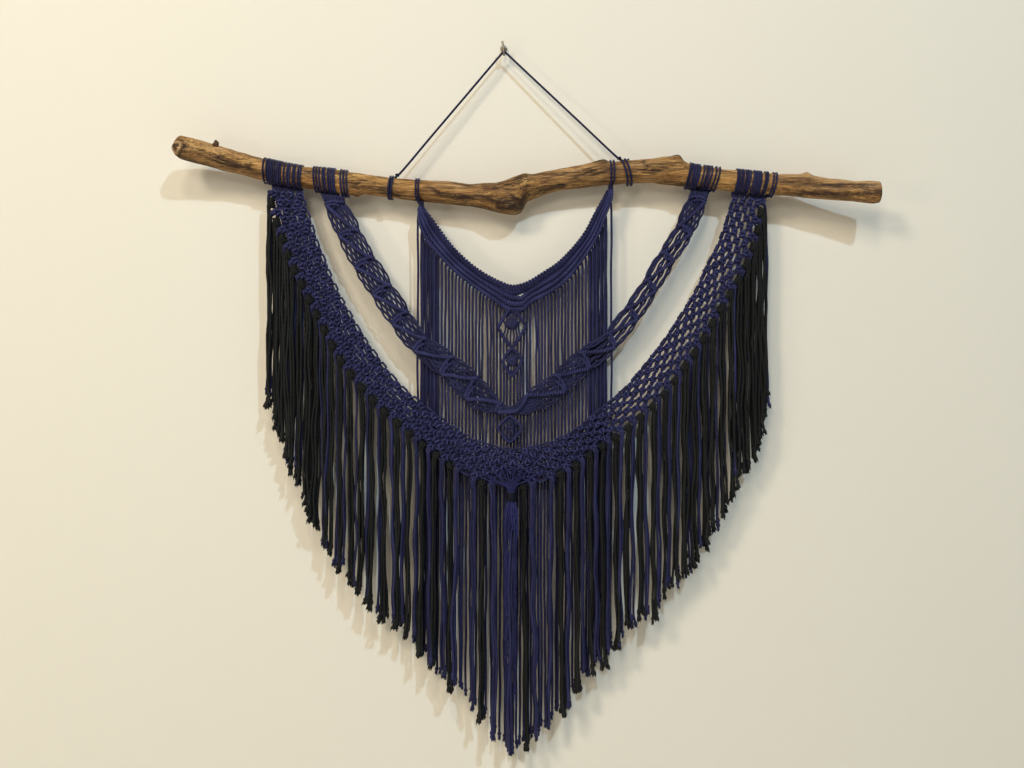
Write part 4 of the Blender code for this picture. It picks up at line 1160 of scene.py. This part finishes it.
for slot in (0, 3):
    drop.sweep(curve([pt(cx + a * 4.0, -26.2 + n * 2.2, cd + 17 - b * 3.2)
                      for a, n, b in slot_points(slot, 1.0, False)], 1.3), 1.1, 6, 0.55)
drop.build("inner_band_drop_cords", NAVY, ["inner_band_drop"])

# ------------------------------------------------------ heading of the centre
heading = Bag()
hs = np.arange(0.5, head.length - 0.4, 1.6)
w_h = head.width(hs)
tie_l, tie_r = np.array(pt(-107.0, -25.0, 210.5)), np.array(pt(139.5, -25.0, 189.0))
heading.sweep(curve(np.vstack([tie_l + (0, 0, 1.5), head.at(hs, 0.055, -0.2), tie_r + (0, 0, 1.5)]),
                    2.4), 1.3, 6, 0.42)
ridge(heading, head.at(hs, 0.055, -0.1), np.clip(w_h * 0.09, 1.2, 2.0), 2.5, 4.5, 1.66, 0.9, 0.36,
      per=10)
point = np.exp(-np.abs(hs - head.length / 2) / 9.0)     # the V is sharp at its foot
for u, bright in ((0.44, 0.50), (0.68, 0.58), (0.93, 0.54)):
    across = np.clip(w_h * 0.12 - 0.9, 0.4, 2.9)
    ridge(heading, head.at(hs, u + 0.20 * point, -0.8), across, 2.3, 3.6, 1.46, 1.9, bright, per=9)
# painted shade: the carriers behind, between the rows, get a darker tone than the hitches
for u in (0.56, 0.81):                      # carriers behind, between the rows
    heading.sweep(curve(head.at(hs[::2], u + 0.20 * point[::2], 1.2), 3.0),
                  np.clip(float(w_h.mean()) * 0.10, 1.2, 2.6), 6, 0.20)
# two more hitches fill the point of the V
mid = (hs > head.length / 2 - 26) & (hs < head.length / 2 + 26)
ridge(heading, head.at(hs[mid], 0.27, 0.2), 1.5, 1.9, 3.6, 1.35, 1.4, 0.42)
# strands between the holding cord and the hitches
for i, s in enumerate(np.arange(4.0, head.length - 3.0, 3.75)):
    wj = float(head.width(s))
    if wj < 9:
        continue
    sg = 1 if s < head.length * 0.5 else -1
    for o in (-0.85, 0.85):
        s2 = s + o
        pts = [head.at(s2, 0.10, -2.0), head.at(s2 + sg * 0.3, 0.20, -1.7),
               head.at(s2 + sg * 0.8, 0.32, -0.8), head.at(s2 + sg * 1.2, 0.42, 0.2)]
        heading.sweep(curve(pts, 1.9), 1.12, 5, 0.42 + 0.15 * rng.rand(), ends=(0.9, 0.3))
    pts = [head.at(s - 2.0, 0.185, -0.6), head.at(s - 1.2, 0.19, -2.9), head.at(s + 1.2, 0.19, -2.9),
           head.at(s + 2.0, 0.185, -0.6)]
    heading.sweep(curve(pts, 1.5), 1.05, 5, 0.46)
heading.build("centre_heading_hitches", NAVY, ["centre_heading"])

# ties of the centre panel: two turns round the branch, both ends to the heading
for name, node, x0, x1, foot in (("centre_tie_left_cord", "centre_tie_left", -113.6, -110.7, tie_l),
                                 ("centre_tie_right_cord", "centre_tie_right", 139.6, 143.2, tie_r)):
    bag = Bag()
    for k, x in enumerate((x0, x1)):
        side = (-1, 1)[k]
        ring_pts = [foot + np.array((0.8 * side, -1.2 + 0.6 * k, 1.0)),
                    around(x * 0.6 + foot[0] * 0.4, 252, R + 0.9)]
        ring_pts += [around(x + 0.25 * side, d, R + 0.2) for d in range(225, -46, -30)]
        ring_pts += [around(x * 0.6 + foot[0] * 0.4, -72, R + 0.9),
                     foot + np.array((0.8 * side, 1.6, 0.6))]
        bag.sweep(curve(ring_pts, 1.7), R, 8, 0.33)
    # the wrap that draws them together
    coil = []
    for i in range(27):
        a = 2 * math.pi * i / 9
        coil.append(foot + np.array((2.6 * math.cos(a), 2.5 * math.sin(a) + 0.3, 3.2 - 0.26 * i)))
    bag.sweep(curve(coil, 1.1), 1.15, 6, 0.33)
    bag.build(name, NAVY, [node])

# ---------------------------------------------------------- ends of the strands
STRAND_ENDS = np.array([
    (-312, 466), (-302, 473), (-297, 493), (-287, 541), (-270, 567), (-258, 606),
    (-240, 636), (-222, 673), (-201, 699), (-175, 732), (-157, 750), (-133, 757),
    (-105, 800), (-84, 823), (-53, 848), (-36, 870), (-10, 902), (3, 922),
    (20, 920), (44, 910), (59, 888), (85, 866), (97, 840), (128, 805), (146, 800),
    (155, 762), (197, 746), (223, 708), (249, 671), (279, 630), (291, 602),
    (305, 573), (322, 551), (335, 504), (345, 482)], float)


def end_of(x):
    return float(np.interp(x, STRAND_ENDS[:, 0], STRAND_ENDS[:, 1]))


def strand(bag, top, x, y, end, r, tone, kind, sides=6, bow=None, g=rng, wild=1.0, kick=0.0,
           back=None):
    """A cord that hangs from the points top down to its end, with a worked tip."""
    top = [np.asarray(p, float) for p in top]
    d0 = -top[-1][2]
    n = max(3, int((end - d0) / 22.0))
    a1, a2, a3 = g.uniform(0.3, 0.9) * wild, g.uniform(0.25, 0.65) * wild, g.uniform(0.5, 1.1) * wild
    p1, p2, p3, p4 = g.uniform(0, 6.28, 4)
    l1, l2 = g.uniform(120, 240), g.uniform(52, 95)
    drift = g.uniform(-2.0, 2.0)
    pts = list(top)
    for i in range(1, n + 1):
        d = d0 + (end - d0) * i / n
        f = i / n
        ease = min(1.0, (d - d0) / 40.0)
        wx = a1 * math.sin(2 * math.pi * d / l1 + p1) + a2 * math.sin(2 * math.pi * d / l2 + p2)
        wy = 0.4 * a3 * math.sin(2 * math.pi * d / l1 + p3)
        xx = x + wx * ease + (drift + 2.5 * kick) * f ** 3
        if bow is not None:
            xx += bow(x, d)
        yb = back(d) if back is not None else 0.0
        pts.append(np.array((xx, y + yb + wy * ease, -d)))
    # the last bit kicks out a little
    kx = kick * 1.8 + g.uniform(-1.4, 1.4)
    pts.append(pts[-1] + np.array((kx, g.uniform(-0.8, 0.8), -6.0)))
    line = curve(pts[:len(top)], 2.3)[:-1] if len(top) > 2 else np.array(top[:-1]).reshape(-1, 3)
    rest = curve(pts[len(top) - 1:], 10.5)
    P = np.vstack([line, rest]) if len(line) else rest
    s = np.concatenate([[0], np.cumsum(np.linalg.norm(np.diff(P, axis=0), axis=1))])
    extra = np.array([13.0, 11.0, 9.4, 7.8, 6.4, 3.6, 0.9] if kind == "fray"
                     else [8.8, 7.4, 6.2, 5.0, 3.6, 1.6])
    at = np.unique(np.concatenate([s[s < s[-1] - extra[0] - 1.5], s[-1] - extra, [s[-1]]]))
    P = np.stack([np.interp(at, s, P[:, i]) for i in range(3)], -1)
    s = at
    away = s[-1] - s
    tail = P[-1]
    lump = 1 + 0.045 * wild * np.sin(s / 5.3 + p1) * np.sin(s / 13.0 + p4)
    if kind == "knot":
        rr = r * lump * (1 + 0.85 * np.exp(-((away - 6.2) / 1.6) ** 2) + 0.35 * clamp01((4 - away) / 4))
    else:
        rr = r * lump * (1 + 0.50 * np.exp(-((away - 9.4) / 1.8) ** 2) + 0.90 * clamp01((7 - away) / 6))
    bag.sweep(P, rr, sides, tone + 0.08 * np.sin(s / 26.0 + p2), ends=(0.5, 0.1))
    for _ in range(4 if kind == "knot" else 6):
        dx, dy = g.uniform(-1, 1, 2)
        long = g.uniform(1.0, 2.6) if kind == "knot" else g.uniform(0.8, 3.4)
        w0, w1 = (0.8, 1.1) if kind == "knot" else (1.25, 1.75)
        q = np.array([tail + np.array((dx * r * w0, dy * r * w0, 0.8)),
                      tail + np.array((dx * r * (w0 + w1) / 2 + kx * 0.06, dy * r * w1, -long * 0.5)),
                      tail + np.array((dx * r * w1 + kx * 0.14, dy * r * w1, -long))])
        bag.sweep(q, np.array([0.62, 0.54, 0.30]) * (r / 1.3), 3, tone - 0.08)
    return s[-1]


# --------------------------------------------------------------------- curtain
low_x, low_d = head.flat(np.linspace(0, head.length, 240), 1.0)
order = np.argsort(low_x)
low_x, low_d = low_x[order], low_d[order]


def under_heading(x):
    return float(np.interp(x, low_x, low_d))


curtain = Bag()
lanes = [-111.8] + list(np.linspace(-107.4, -85.5, 10)) + list(np.linspace(-80.6, 107.6, 43)) \
    + list(np.linspace(111.5, 134.6, 10)) + [141.0]
clear = ((-23.0, 372.0, 460.0, 2.0), (40.0, 372.0, 452.0, 2.0), (-63.0, 560, 660, 1.6),
         (66.0, 600, 700, 2.0), (96.0, 620, 700, 1.5))


def part_ways(x, d):
    out = 0.0
    for gx, d0, d1, amp in clear:
        win = clamp01((d - d0 + 40) / 40) * clamp01((d1 + 60 - d) / 60)
        off = x - gx
        out += amp * math.copysign(1.0, off) * math.exp(-abs(off) / 9.0) * win
    return float(out)


# the two knotted diamonds: middle x, middle drop, half width, half height up and down
CX = 11.0
DIAMONDS = [(CX, 370.0, 18.0, 24.0, 28.0), (CX + 0.5, 415.0, 12.5, 17.0, 20.0)]


def cut_by(x, m, below):
    """Drop of the upper or lower side of diamond m at x, or None outside it."""
    cx, cd, half, up, down = DIAMONDS[m]
    f = 1 - abs(x - cx) / half
    if f < 0.06:
        return None
    return cd + down * f if below else cd - up * f


strand_total = 0.0
for i, x in enumerate(lanes):
    x += rng.uniform(-0.35, 0.35)
    hd = under_heading(x)
    sg = 1 if x < 11 else -1
    dense = i < 11 or i >= 54
    layer = (1.3 if i % 2 else -1.2) if dense else (0.35 if i % 2 else -0.35)
    y = CURTAIN_Y + layer
    yt = float(head.depth(x, hd))
    end = end_of(x) - 4.0 - 17.0 * rng.rand()
    tone = 0.28 + 0.28 * rng.rand()
    kind = "knot" if rng.rand() < 0.7 else "fray"
    top = [pt(x + 2.8 * sg, yt + 0.4, hd - 2.6), pt(x + 1.9 * sg, yt - 0.5, hd + 0.2),
           pt(x + 0.6 * sg, (yt + y) / 2, hd + 3.6), pt(x, y, hd + 9.0)]
    start = None
    for m in range(2):
        enter, leave = cut_by(x, m, False), cut_by(x, m, True)
        if enter is None:
            continue
        a = top if start is None else start
        d_top = -a[-1][2]
        if enter > d_top - 1:                 # a short piece that runs into the diamond
            piece = [p for p in a if -p[2] < enter - 2.0][:3] + [pt(x, -22.6, enter + 1.0)]
            if len(piece) > 2:
                curtain.sweep(curve(piece, 3.0), 1.34, 6, tone)
        start = [pt(x, -24.6, leave - 1.0), pt(x - 0.2 * sg, -24.0, leave + 2.0),
                 pt(x - 0.3 * sg, -22.3, leave + 6.5), pt(x, y, leave + 14.0)]
    strand_total += strand(curtain, start or top, x, y, end, 1.52, tone, kind, bow=part_ways,
                           wild=0.55)
curtain_ob = curtain.build("centre_curtain_strands", NAVY, ["centre_curtain"])

# ------------------------------------------- two knotted diamonds in the centre
motif = Bag()
MY = -25.2
for m, (cx, cd, half, up, down) in enumerate(DIAMONDS):
    kw, kh = ((8.4, 4.6), (7.6, 5.0))[m]
    kd = cd - (3.5, 0.5)[m]
    corners = [(cx - 0.5, cd - up), (cx + half, cd - 1.5), (cx, cd + down), (cx - half, cd + 1.0),
               (cx - 0.5, cd - up)]
    for q, ((xa, da), (xb, db)) in enumerate(zip(corners, corners[1:])):
        t = np.linspace(0, 1, 14)
        mx, md = (xa + xb) / 2 - cx, (da + db) / 2 - cd
        length = math.hypot(mx, md)
        bow = 1.4 * np.sin(np.pi * t)
        P = np.stack([xa + (xb - xa) * t + bow * mx / length, MY - 0.6 * np.sin(np.pi * t),
                      -(da + (db - da) * t + bow * md / length)], -1)
        ridge(motif, P, 1.35, 2.0, 2.9, 1.36, 0.9, 0.48, hand=1 if q % 2 else -1)
    g = np.random.RandomState(70 + m)
    for o in np.linspace(-1, 1, 6):           # cords through the knot and out to the edges
        f = np.array([0.02, .16, .30, .42, .56, .70, .86, 0.98])
        wdt = np.array([0.1, 0.55, 0.78, 0.62, 0.62, 0.80, 0.52, 0.1])
        d = cd - up + (up + down) * f
        P = np.stack([cx + o * half * 0.78 * wdt + g.uniform(-.4, .4, 8), np.full(8, MY + 0.6), -d], -1)
        motif.sweep(curve(P, 2.1), 1.15, 6, 0.40 + 0.16 * g.rand())
    # the ball in the middle: cords laid over one another in every direction
    bx, bz = ((9.0, 7.6), (8.0, 7.4))[m]
    for j in range(17):
        turn, off = math.pi * (j * 0.618 % 1.0), g.uniform(-0.62, 0.62)
        c0, s0 = math.cos(turn), math.sin(turn)
        reach = math.sqrt(1 - off * off)
        arc = np.linspace(-1.25, 1.25, 9)
        lay = 0.86 + 0.16 * g.rand()
        motif.sweep(curve([pt(cx + bx * lay * (off * c0 - reach * math.sin(v) * s0),
                              MY - 1.2 - 4.4 * lay * reach * math.cos(v),
                              kd - bz * lay * (off * s0 + reach * math.sin(v) * c0))
                           for v in arc], 2.0), 1.45, 6, 0.34 + 0.24 * g.rand())
motif.build("centre_motif_cords", NAVY, ["centre_motif"])


# --------------------------------------------------------------------- fringe
# every leg: colour, point on the edge, way out, face, x wanted, layer, end, group
jobs = []
bars = {"navy": Bag(), "black_left": Bag(), "black_right": Bag()}
# where the legs of a group hang: layer and place across, for each cord and face
PLACES = {1: {(0, -1): (0, -0.2), (0, 1): (1, 0.2)},
          2: {(0, -1): (0, -0.3), (1, -1): (1, 1.0), (0, 1): (1, -1.0), (1, 1): (2, 0.3)},
          3: {(0, -1): (0, -1.0), (1, -1): (1, -1.0), (2, -1): (0, 1.0),
              (0, 1): (2, -1.0), (1, 1): (1, 1.0), (2, 1): (2, 1.0)}}
for i, s in enumerate(row_s):
    w = float(net.width(s))
    g = np.random.RandomState(900 + i)
    a, b = net.at(s, 0.0, 0.0), net.at(s, 1.0, 0.0)
    out = (a - b) / np.linalg.norm(a - b)
    out[1] = 0.0
    out /= np.linalg.norm(out)
    way = net.at(s + 1.0, 0.0, 0.0) - net.at(s - 1.0, 0.0, 0.0)
    way[1] = 0.0
    way /= np.linalg.norm(way)
    tight = tightness(s)
    side = abs(out[0])                        # 1 on the steep sides, 0 at the bottom
    group_end = g.uniform(-15.0, 1.0)
    if i % 2 == 1:                            # black yarn on the free edge cords
        if abs(a[0] - 10.0) < 62 and (i // 2) % 2 == 0:
            continue
        q = net.at(s, ((RN - 0.4) * tight + (RN - 1.4) * (1 - tight)) / w, 0.2)
        count = 3 if side > 0.62 else 2
        centre = q[0] + out[0] * 2.5 + g.uniform(-1.6, 1.6)
        for j in range(count):
            o = (j - (count - 1) / 2) * 3.4
            p = q + way * o + out * g.uniform(-0.3, 0.5)
            for face in (-1, 1):
                if q[0] > 275 and j == 1 and face == 1:
                    continue
                layer, across = PLACES[count][(j, face)]
                jobs.append(["black", p, out, face, centre + 1.6 * across + g.uniform(-0.9, 0.9),
                             layer, group_end + g.uniform(-7, 5), i])
        key = "black_left" if q[0] < 10 else "black_right"
        h = count * 1.6 + 0.6
        for lift, wide, thick in ((0.2, 1.0, 1.6), (3.0, 0.92, 1.6)):
            sl = g.uniform(-0.7, 0.7)
            pts = [q - way * (h * wide + 0.8) + out * (lift - sl) + (0, 1.0, 0),
                   q - way * h * wide + out * (lift - sl) + (0, -3.0, 0),
                   q + out * (lift + 0.3) + (0, -4.3, 0),
                   q + way * h * wide + out * (lift + sl) + (0, -3.0, 0),
                   q + way * (h * wide + 0.8) + out * (lift + sl) + (0, 1.0, 0)]
            bars[key].sweep(curve(pts, 1.7), thick, 7, 0.40 + 0.1 * g.rand())
    else:                                     # navy cords from the edge knots
        q = net.at(s, 0.03, 0.0)
        count = 1 if side > 0.72 else 2 if side > 0.42 else 3
        centre = q[0] + out[0] * 1.5 + g.uniform(-1.6, 1.6)
        for j in range(count):
            o = (j - (count - 1) / 2) * 2.9
            p = q + way * o
            for face in (-1, 1):
                layer, across = PLACES[count][(j, face)]
                if side > 0.6 and (q[0] < -240 or q[0] > 315 or (q[0] > 225 and i % 4 == 0)):
                    layer = 2
                jobs.append(["navy", p, out, face, centre + 1.5 * across + g.uniform(-0.4, 0.4),
                             layer, group_end - 3 + g.uniform(-7, 5), i])
        flip = i % 4 == 0
        for m, lift in enumerate((0.4, 3.0)):
            for slot in (0, 3):
                pts = [q + way * (a_ * 2.5) + out * (lift - b_ * 1.9) + np.array((0, n_ * 2.5 - 0.4, 0))
                       for a_, n_, b_ in slot_points(slot, 1.0, flip != bool(m))]
                bars["navy"].sweep(curve(pts, 1.7), 1.3, 6, 0.46 + 0.1 * g.rand())

for layer in range(3):                        # strands of one layer stay side by side
    mine = sorted((j for j in jobs if j[5] == layer), key=lambda j: j[4])
    xs = np.array([j[4] for j in mine])
    for _ in range(300):
        moved = False
        for k in range(1, len(xs)):
            full = math.exp(-((xs[k] - 10.0) / 105.0) ** 4)      # the middle hangs closer
            need = (2.7 if mine[k][0] == "black" else 2.4 + 0.6 * full) - (xs[k] - xs[k - 1])
            if need > 1e-3:
                xs[k] += need / 2
                xs[k - 1] -= need / 2
                moved = True
        if not moved:
            break
    xs = np.where(xs < -306, -306 + 0.10 * (xs + 306), xs)
    xs = np.where(xs > 342, 342 + 0.10 * (xs - 342), xs)
    for job, x in zip(mine, xs):
        job[4] = x



def group_sway(row, d0, quiet):
    """The legs of one group bend together."""
    gs = np.random.RandomState(7000 + row)
    amp, lam, turn, lean = gs.uniform(0.5, 1.6), gs.uniform(90, 170), gs.uniform(0, 6.28), \
        gs.uniform(-4.0, 4.0) * quiet
    return lambda x, d: float(amp * math.sin(2 * math.pi * d / lam + turn) * clamp01((d - d0) / 60)
                              + lean * clamp01((d - d0 - 30) / 240))


leg_run = {"navy": [], "black_left": [], "black_right": []}
for k, (kind, q, out, face, x, layer, group_end, row) in enumerate(jobs):
    g = np.random.RandomState(3000 + k)
    edge_y = q[1]
    y = edge_y + (layer - 1) * 3.15 + g.uniform(-0.2, 0.2)
    yo = -2.8 if face < 0 else 2.7
    top = [q - out * 2.8, q - out * 0.6 + np.array((0, yo, 0.0)),
           q + out * 3.2 + np.array((0, yo * 0.95, -0.6))]
    p3 = q + out * (5.4 if kind == "black" else 4.4)
    drop_a = -p3[2] + 4.0 * abs(out[0])
    top.append(np.array((p3[0] * 0.6 + x * 0.4, edge_y + yo * 0.75, -(drop_a + 2.0))))
    top.append(np.array((x, y * 0.8 + (edge_y + yo * 0.6) * 0.2, -(drop_a + 14.0))))
    steep = float(clamp01(abs(x - 10.0) / 200.0))
    kick = math.copysign(steep, x - 10.0) * g.uniform(0.0, 1.3)
    sway = group_sway(row, drop_a, float(clamp01((318.0 - abs(x - 15.0)) / 50.0)))
    end = end_of(x + 2.5 * kick + sway(x, 900.0)) + group_end - 1.0
    if g.rand() < 0.06:
        end -= 16.0 * g.rand()
    black = kind == "black"
    key = "navy" if not black else ("black_left" if x < 10 else "black_right")
    tone = 0.28 + 0.34 * g.rand()
    leg_run[key].append(strand(
        bars[key], top, x, y, end, g.uniform(1.45, 1.85) if black
        else g.uniform(1.34, 1.50) + 0.24 * math.exp(-((x - 10.0) / 105.0) ** 4),
        tone, "fray" if black and g.rand() < 0.75 or g.rand() < 0.25 else "knot", g=g,
        bow=sway, wild=1.3 if black else 0.8, kick=kick))
fringe_obs = {
    "navy": bars["navy"].build("fringe_navy_cords", NAVY, ["fringe_navy"]),
    "black_left": bars["black_left"].build("fringe_black_yarn_left", YARN,
                                           ["fringe_black_left"], "black_yarn"),
    "black_right": bars["black_right"].build("fringe_black_yarn_right", YARN,
                                             ["fringe_black_right"], "black_yarn")}
print("LEGS", len(jobs))

# --------------------------------------------------------------------- tassel
tassel = Bag()
TX, TY = 10.0, -40.0
for x0, d0, y0 in ((-33.0, 562, -35.5), (-26.0, 557, -36.0), (-20.0, 564, -36.4), (-9.0, 561, -37.4),
                   (-2.0, 555, -37.8), (5.0, 559, -38.2), (14.0, 556, -38.4), (22.0, 560, -37.8),
                   (30.0, 558, -37.0), (40.0, 563, -36.2), (47.0, 558, -35.8)):
    xe = TX + (x0 - TX) * 0.095
    f = 0.50 if abs(x0 - TX) > 25 else 0.40
    pts = [pt(x0 * 1.06, y0 + 4.5, d0 - 5), pt(x0, y0, d0),
           pt(TX + (x0 - TX) * 0.58, y0 - 1.2, d0 + (574 - d0) * f + 3.0),
           pt(TX + (x0 - TX) * 0.22, -39.6, 574.5), pt(xe, TY - 0.2, 581), pt(xe, TY, 592)]
    tassel.sweep(curve(pts, 2.3), 1.2, 6, 0.12 + 0.16 * rng.rand())
for k in range(84):
    a = 2 * math.pi * rng.rand()
    q = math.sqrt(rng.rand())
    roll = k % 20
    end = rng.uniform(616, 650) if roll < 11 else rng.uniform(700, 752) if roll < 16 \
        else rng.uniform(800, 867)
    side_of = 1 if math.cos(a) > 0 else -1
    hx, hy = q * 4.6 * math.cos(a), q * 4.2 * math.sin(a)
    wx, wy = q * 9.6 * math.cos(a), q * 5.0 * math.sin(a)
    if roll >= 11:                            # the long ones hang in two locks, behind
        wx, wy = side_of * 6.4 + q * 3.0 * math.cos(3 * a), abs(wy) * 0.5 + 1.5
    pts = [pt(TX + hx, TY + hy, 583), pt(TX + hx, TY + hy, 595)]
    d, p1, p2 = 602.0, rng.uniform(0, 6.28), rng.uniform(0, 6.28)
    lam, amp = rng.uniform(22, 40), rng.uniform(0.6, 1.3)
    while d < end:
        f = float(clamp01((d - 594) / 14.0))
        pts.append(pt(TX + hx + (wx - hx) * f + amp * math.sin(6.28 * d / lam + p1) * f,
                      TY + hy + (wy - hy) * f + 0.5 * amp * math.sin(6.28 * d / lam + p2) * f, d))
        d += 9.0
    pts.append(pt(pts[-1][0] + rng.uniform(-1, 1), pts[-1][1], end))
    P = curve(pts, 6.5)
    thick = 0.92 if roll < 11 else 0.82
    tassel.sweep(P, np.linspace(thick, thick * 0.6, len(P)), 5,
                                  0.42 + 0.4 * rng.rand() if roll < 11
                                  else 0.05 + 0.35 * rng.rand())
tassel_ob = tassel.build("tassel_fibres", FLUFF, ["tassel"])
wrap = Bag()
turn_pts = []
for i in range(0, 6 * 12 + 1):
    a = 2 * math.pi * i / 12
    f = i / (6 * 12)
    bulge = 0.5 * math.sin(math.pi * f)
    turn_pts.append(pt(TX + (5.9 + bulge) * math.cos(a), TY + (5.4 + bulge) * math.sin(a),
                       583.6 + 10.8 * f))
wrap.sweep(curve(turn_pts, 1.9), 1.1, 8, 0.30)
WRAPPED = cord_material("navy_cord_wrapped", (0.0012, 0.0013, 0.0045), (0.0035, 0.0037, 0.013),
                        (0.011, 0.0115, 0.036), 4, 5.5, 0.60, 0.02, True)
wrap.build("tassel_wrap_turns", WRAPPED, ["tassel_wrap"])



total = sum(t for _, t in made)
for name, t in made:
    print(f"TRIS {name} {t}")
print(f"TRIS total {total}; net cord {knot_line_length / 1000:.2f} m; hanging {hang_length:.0f} mm")
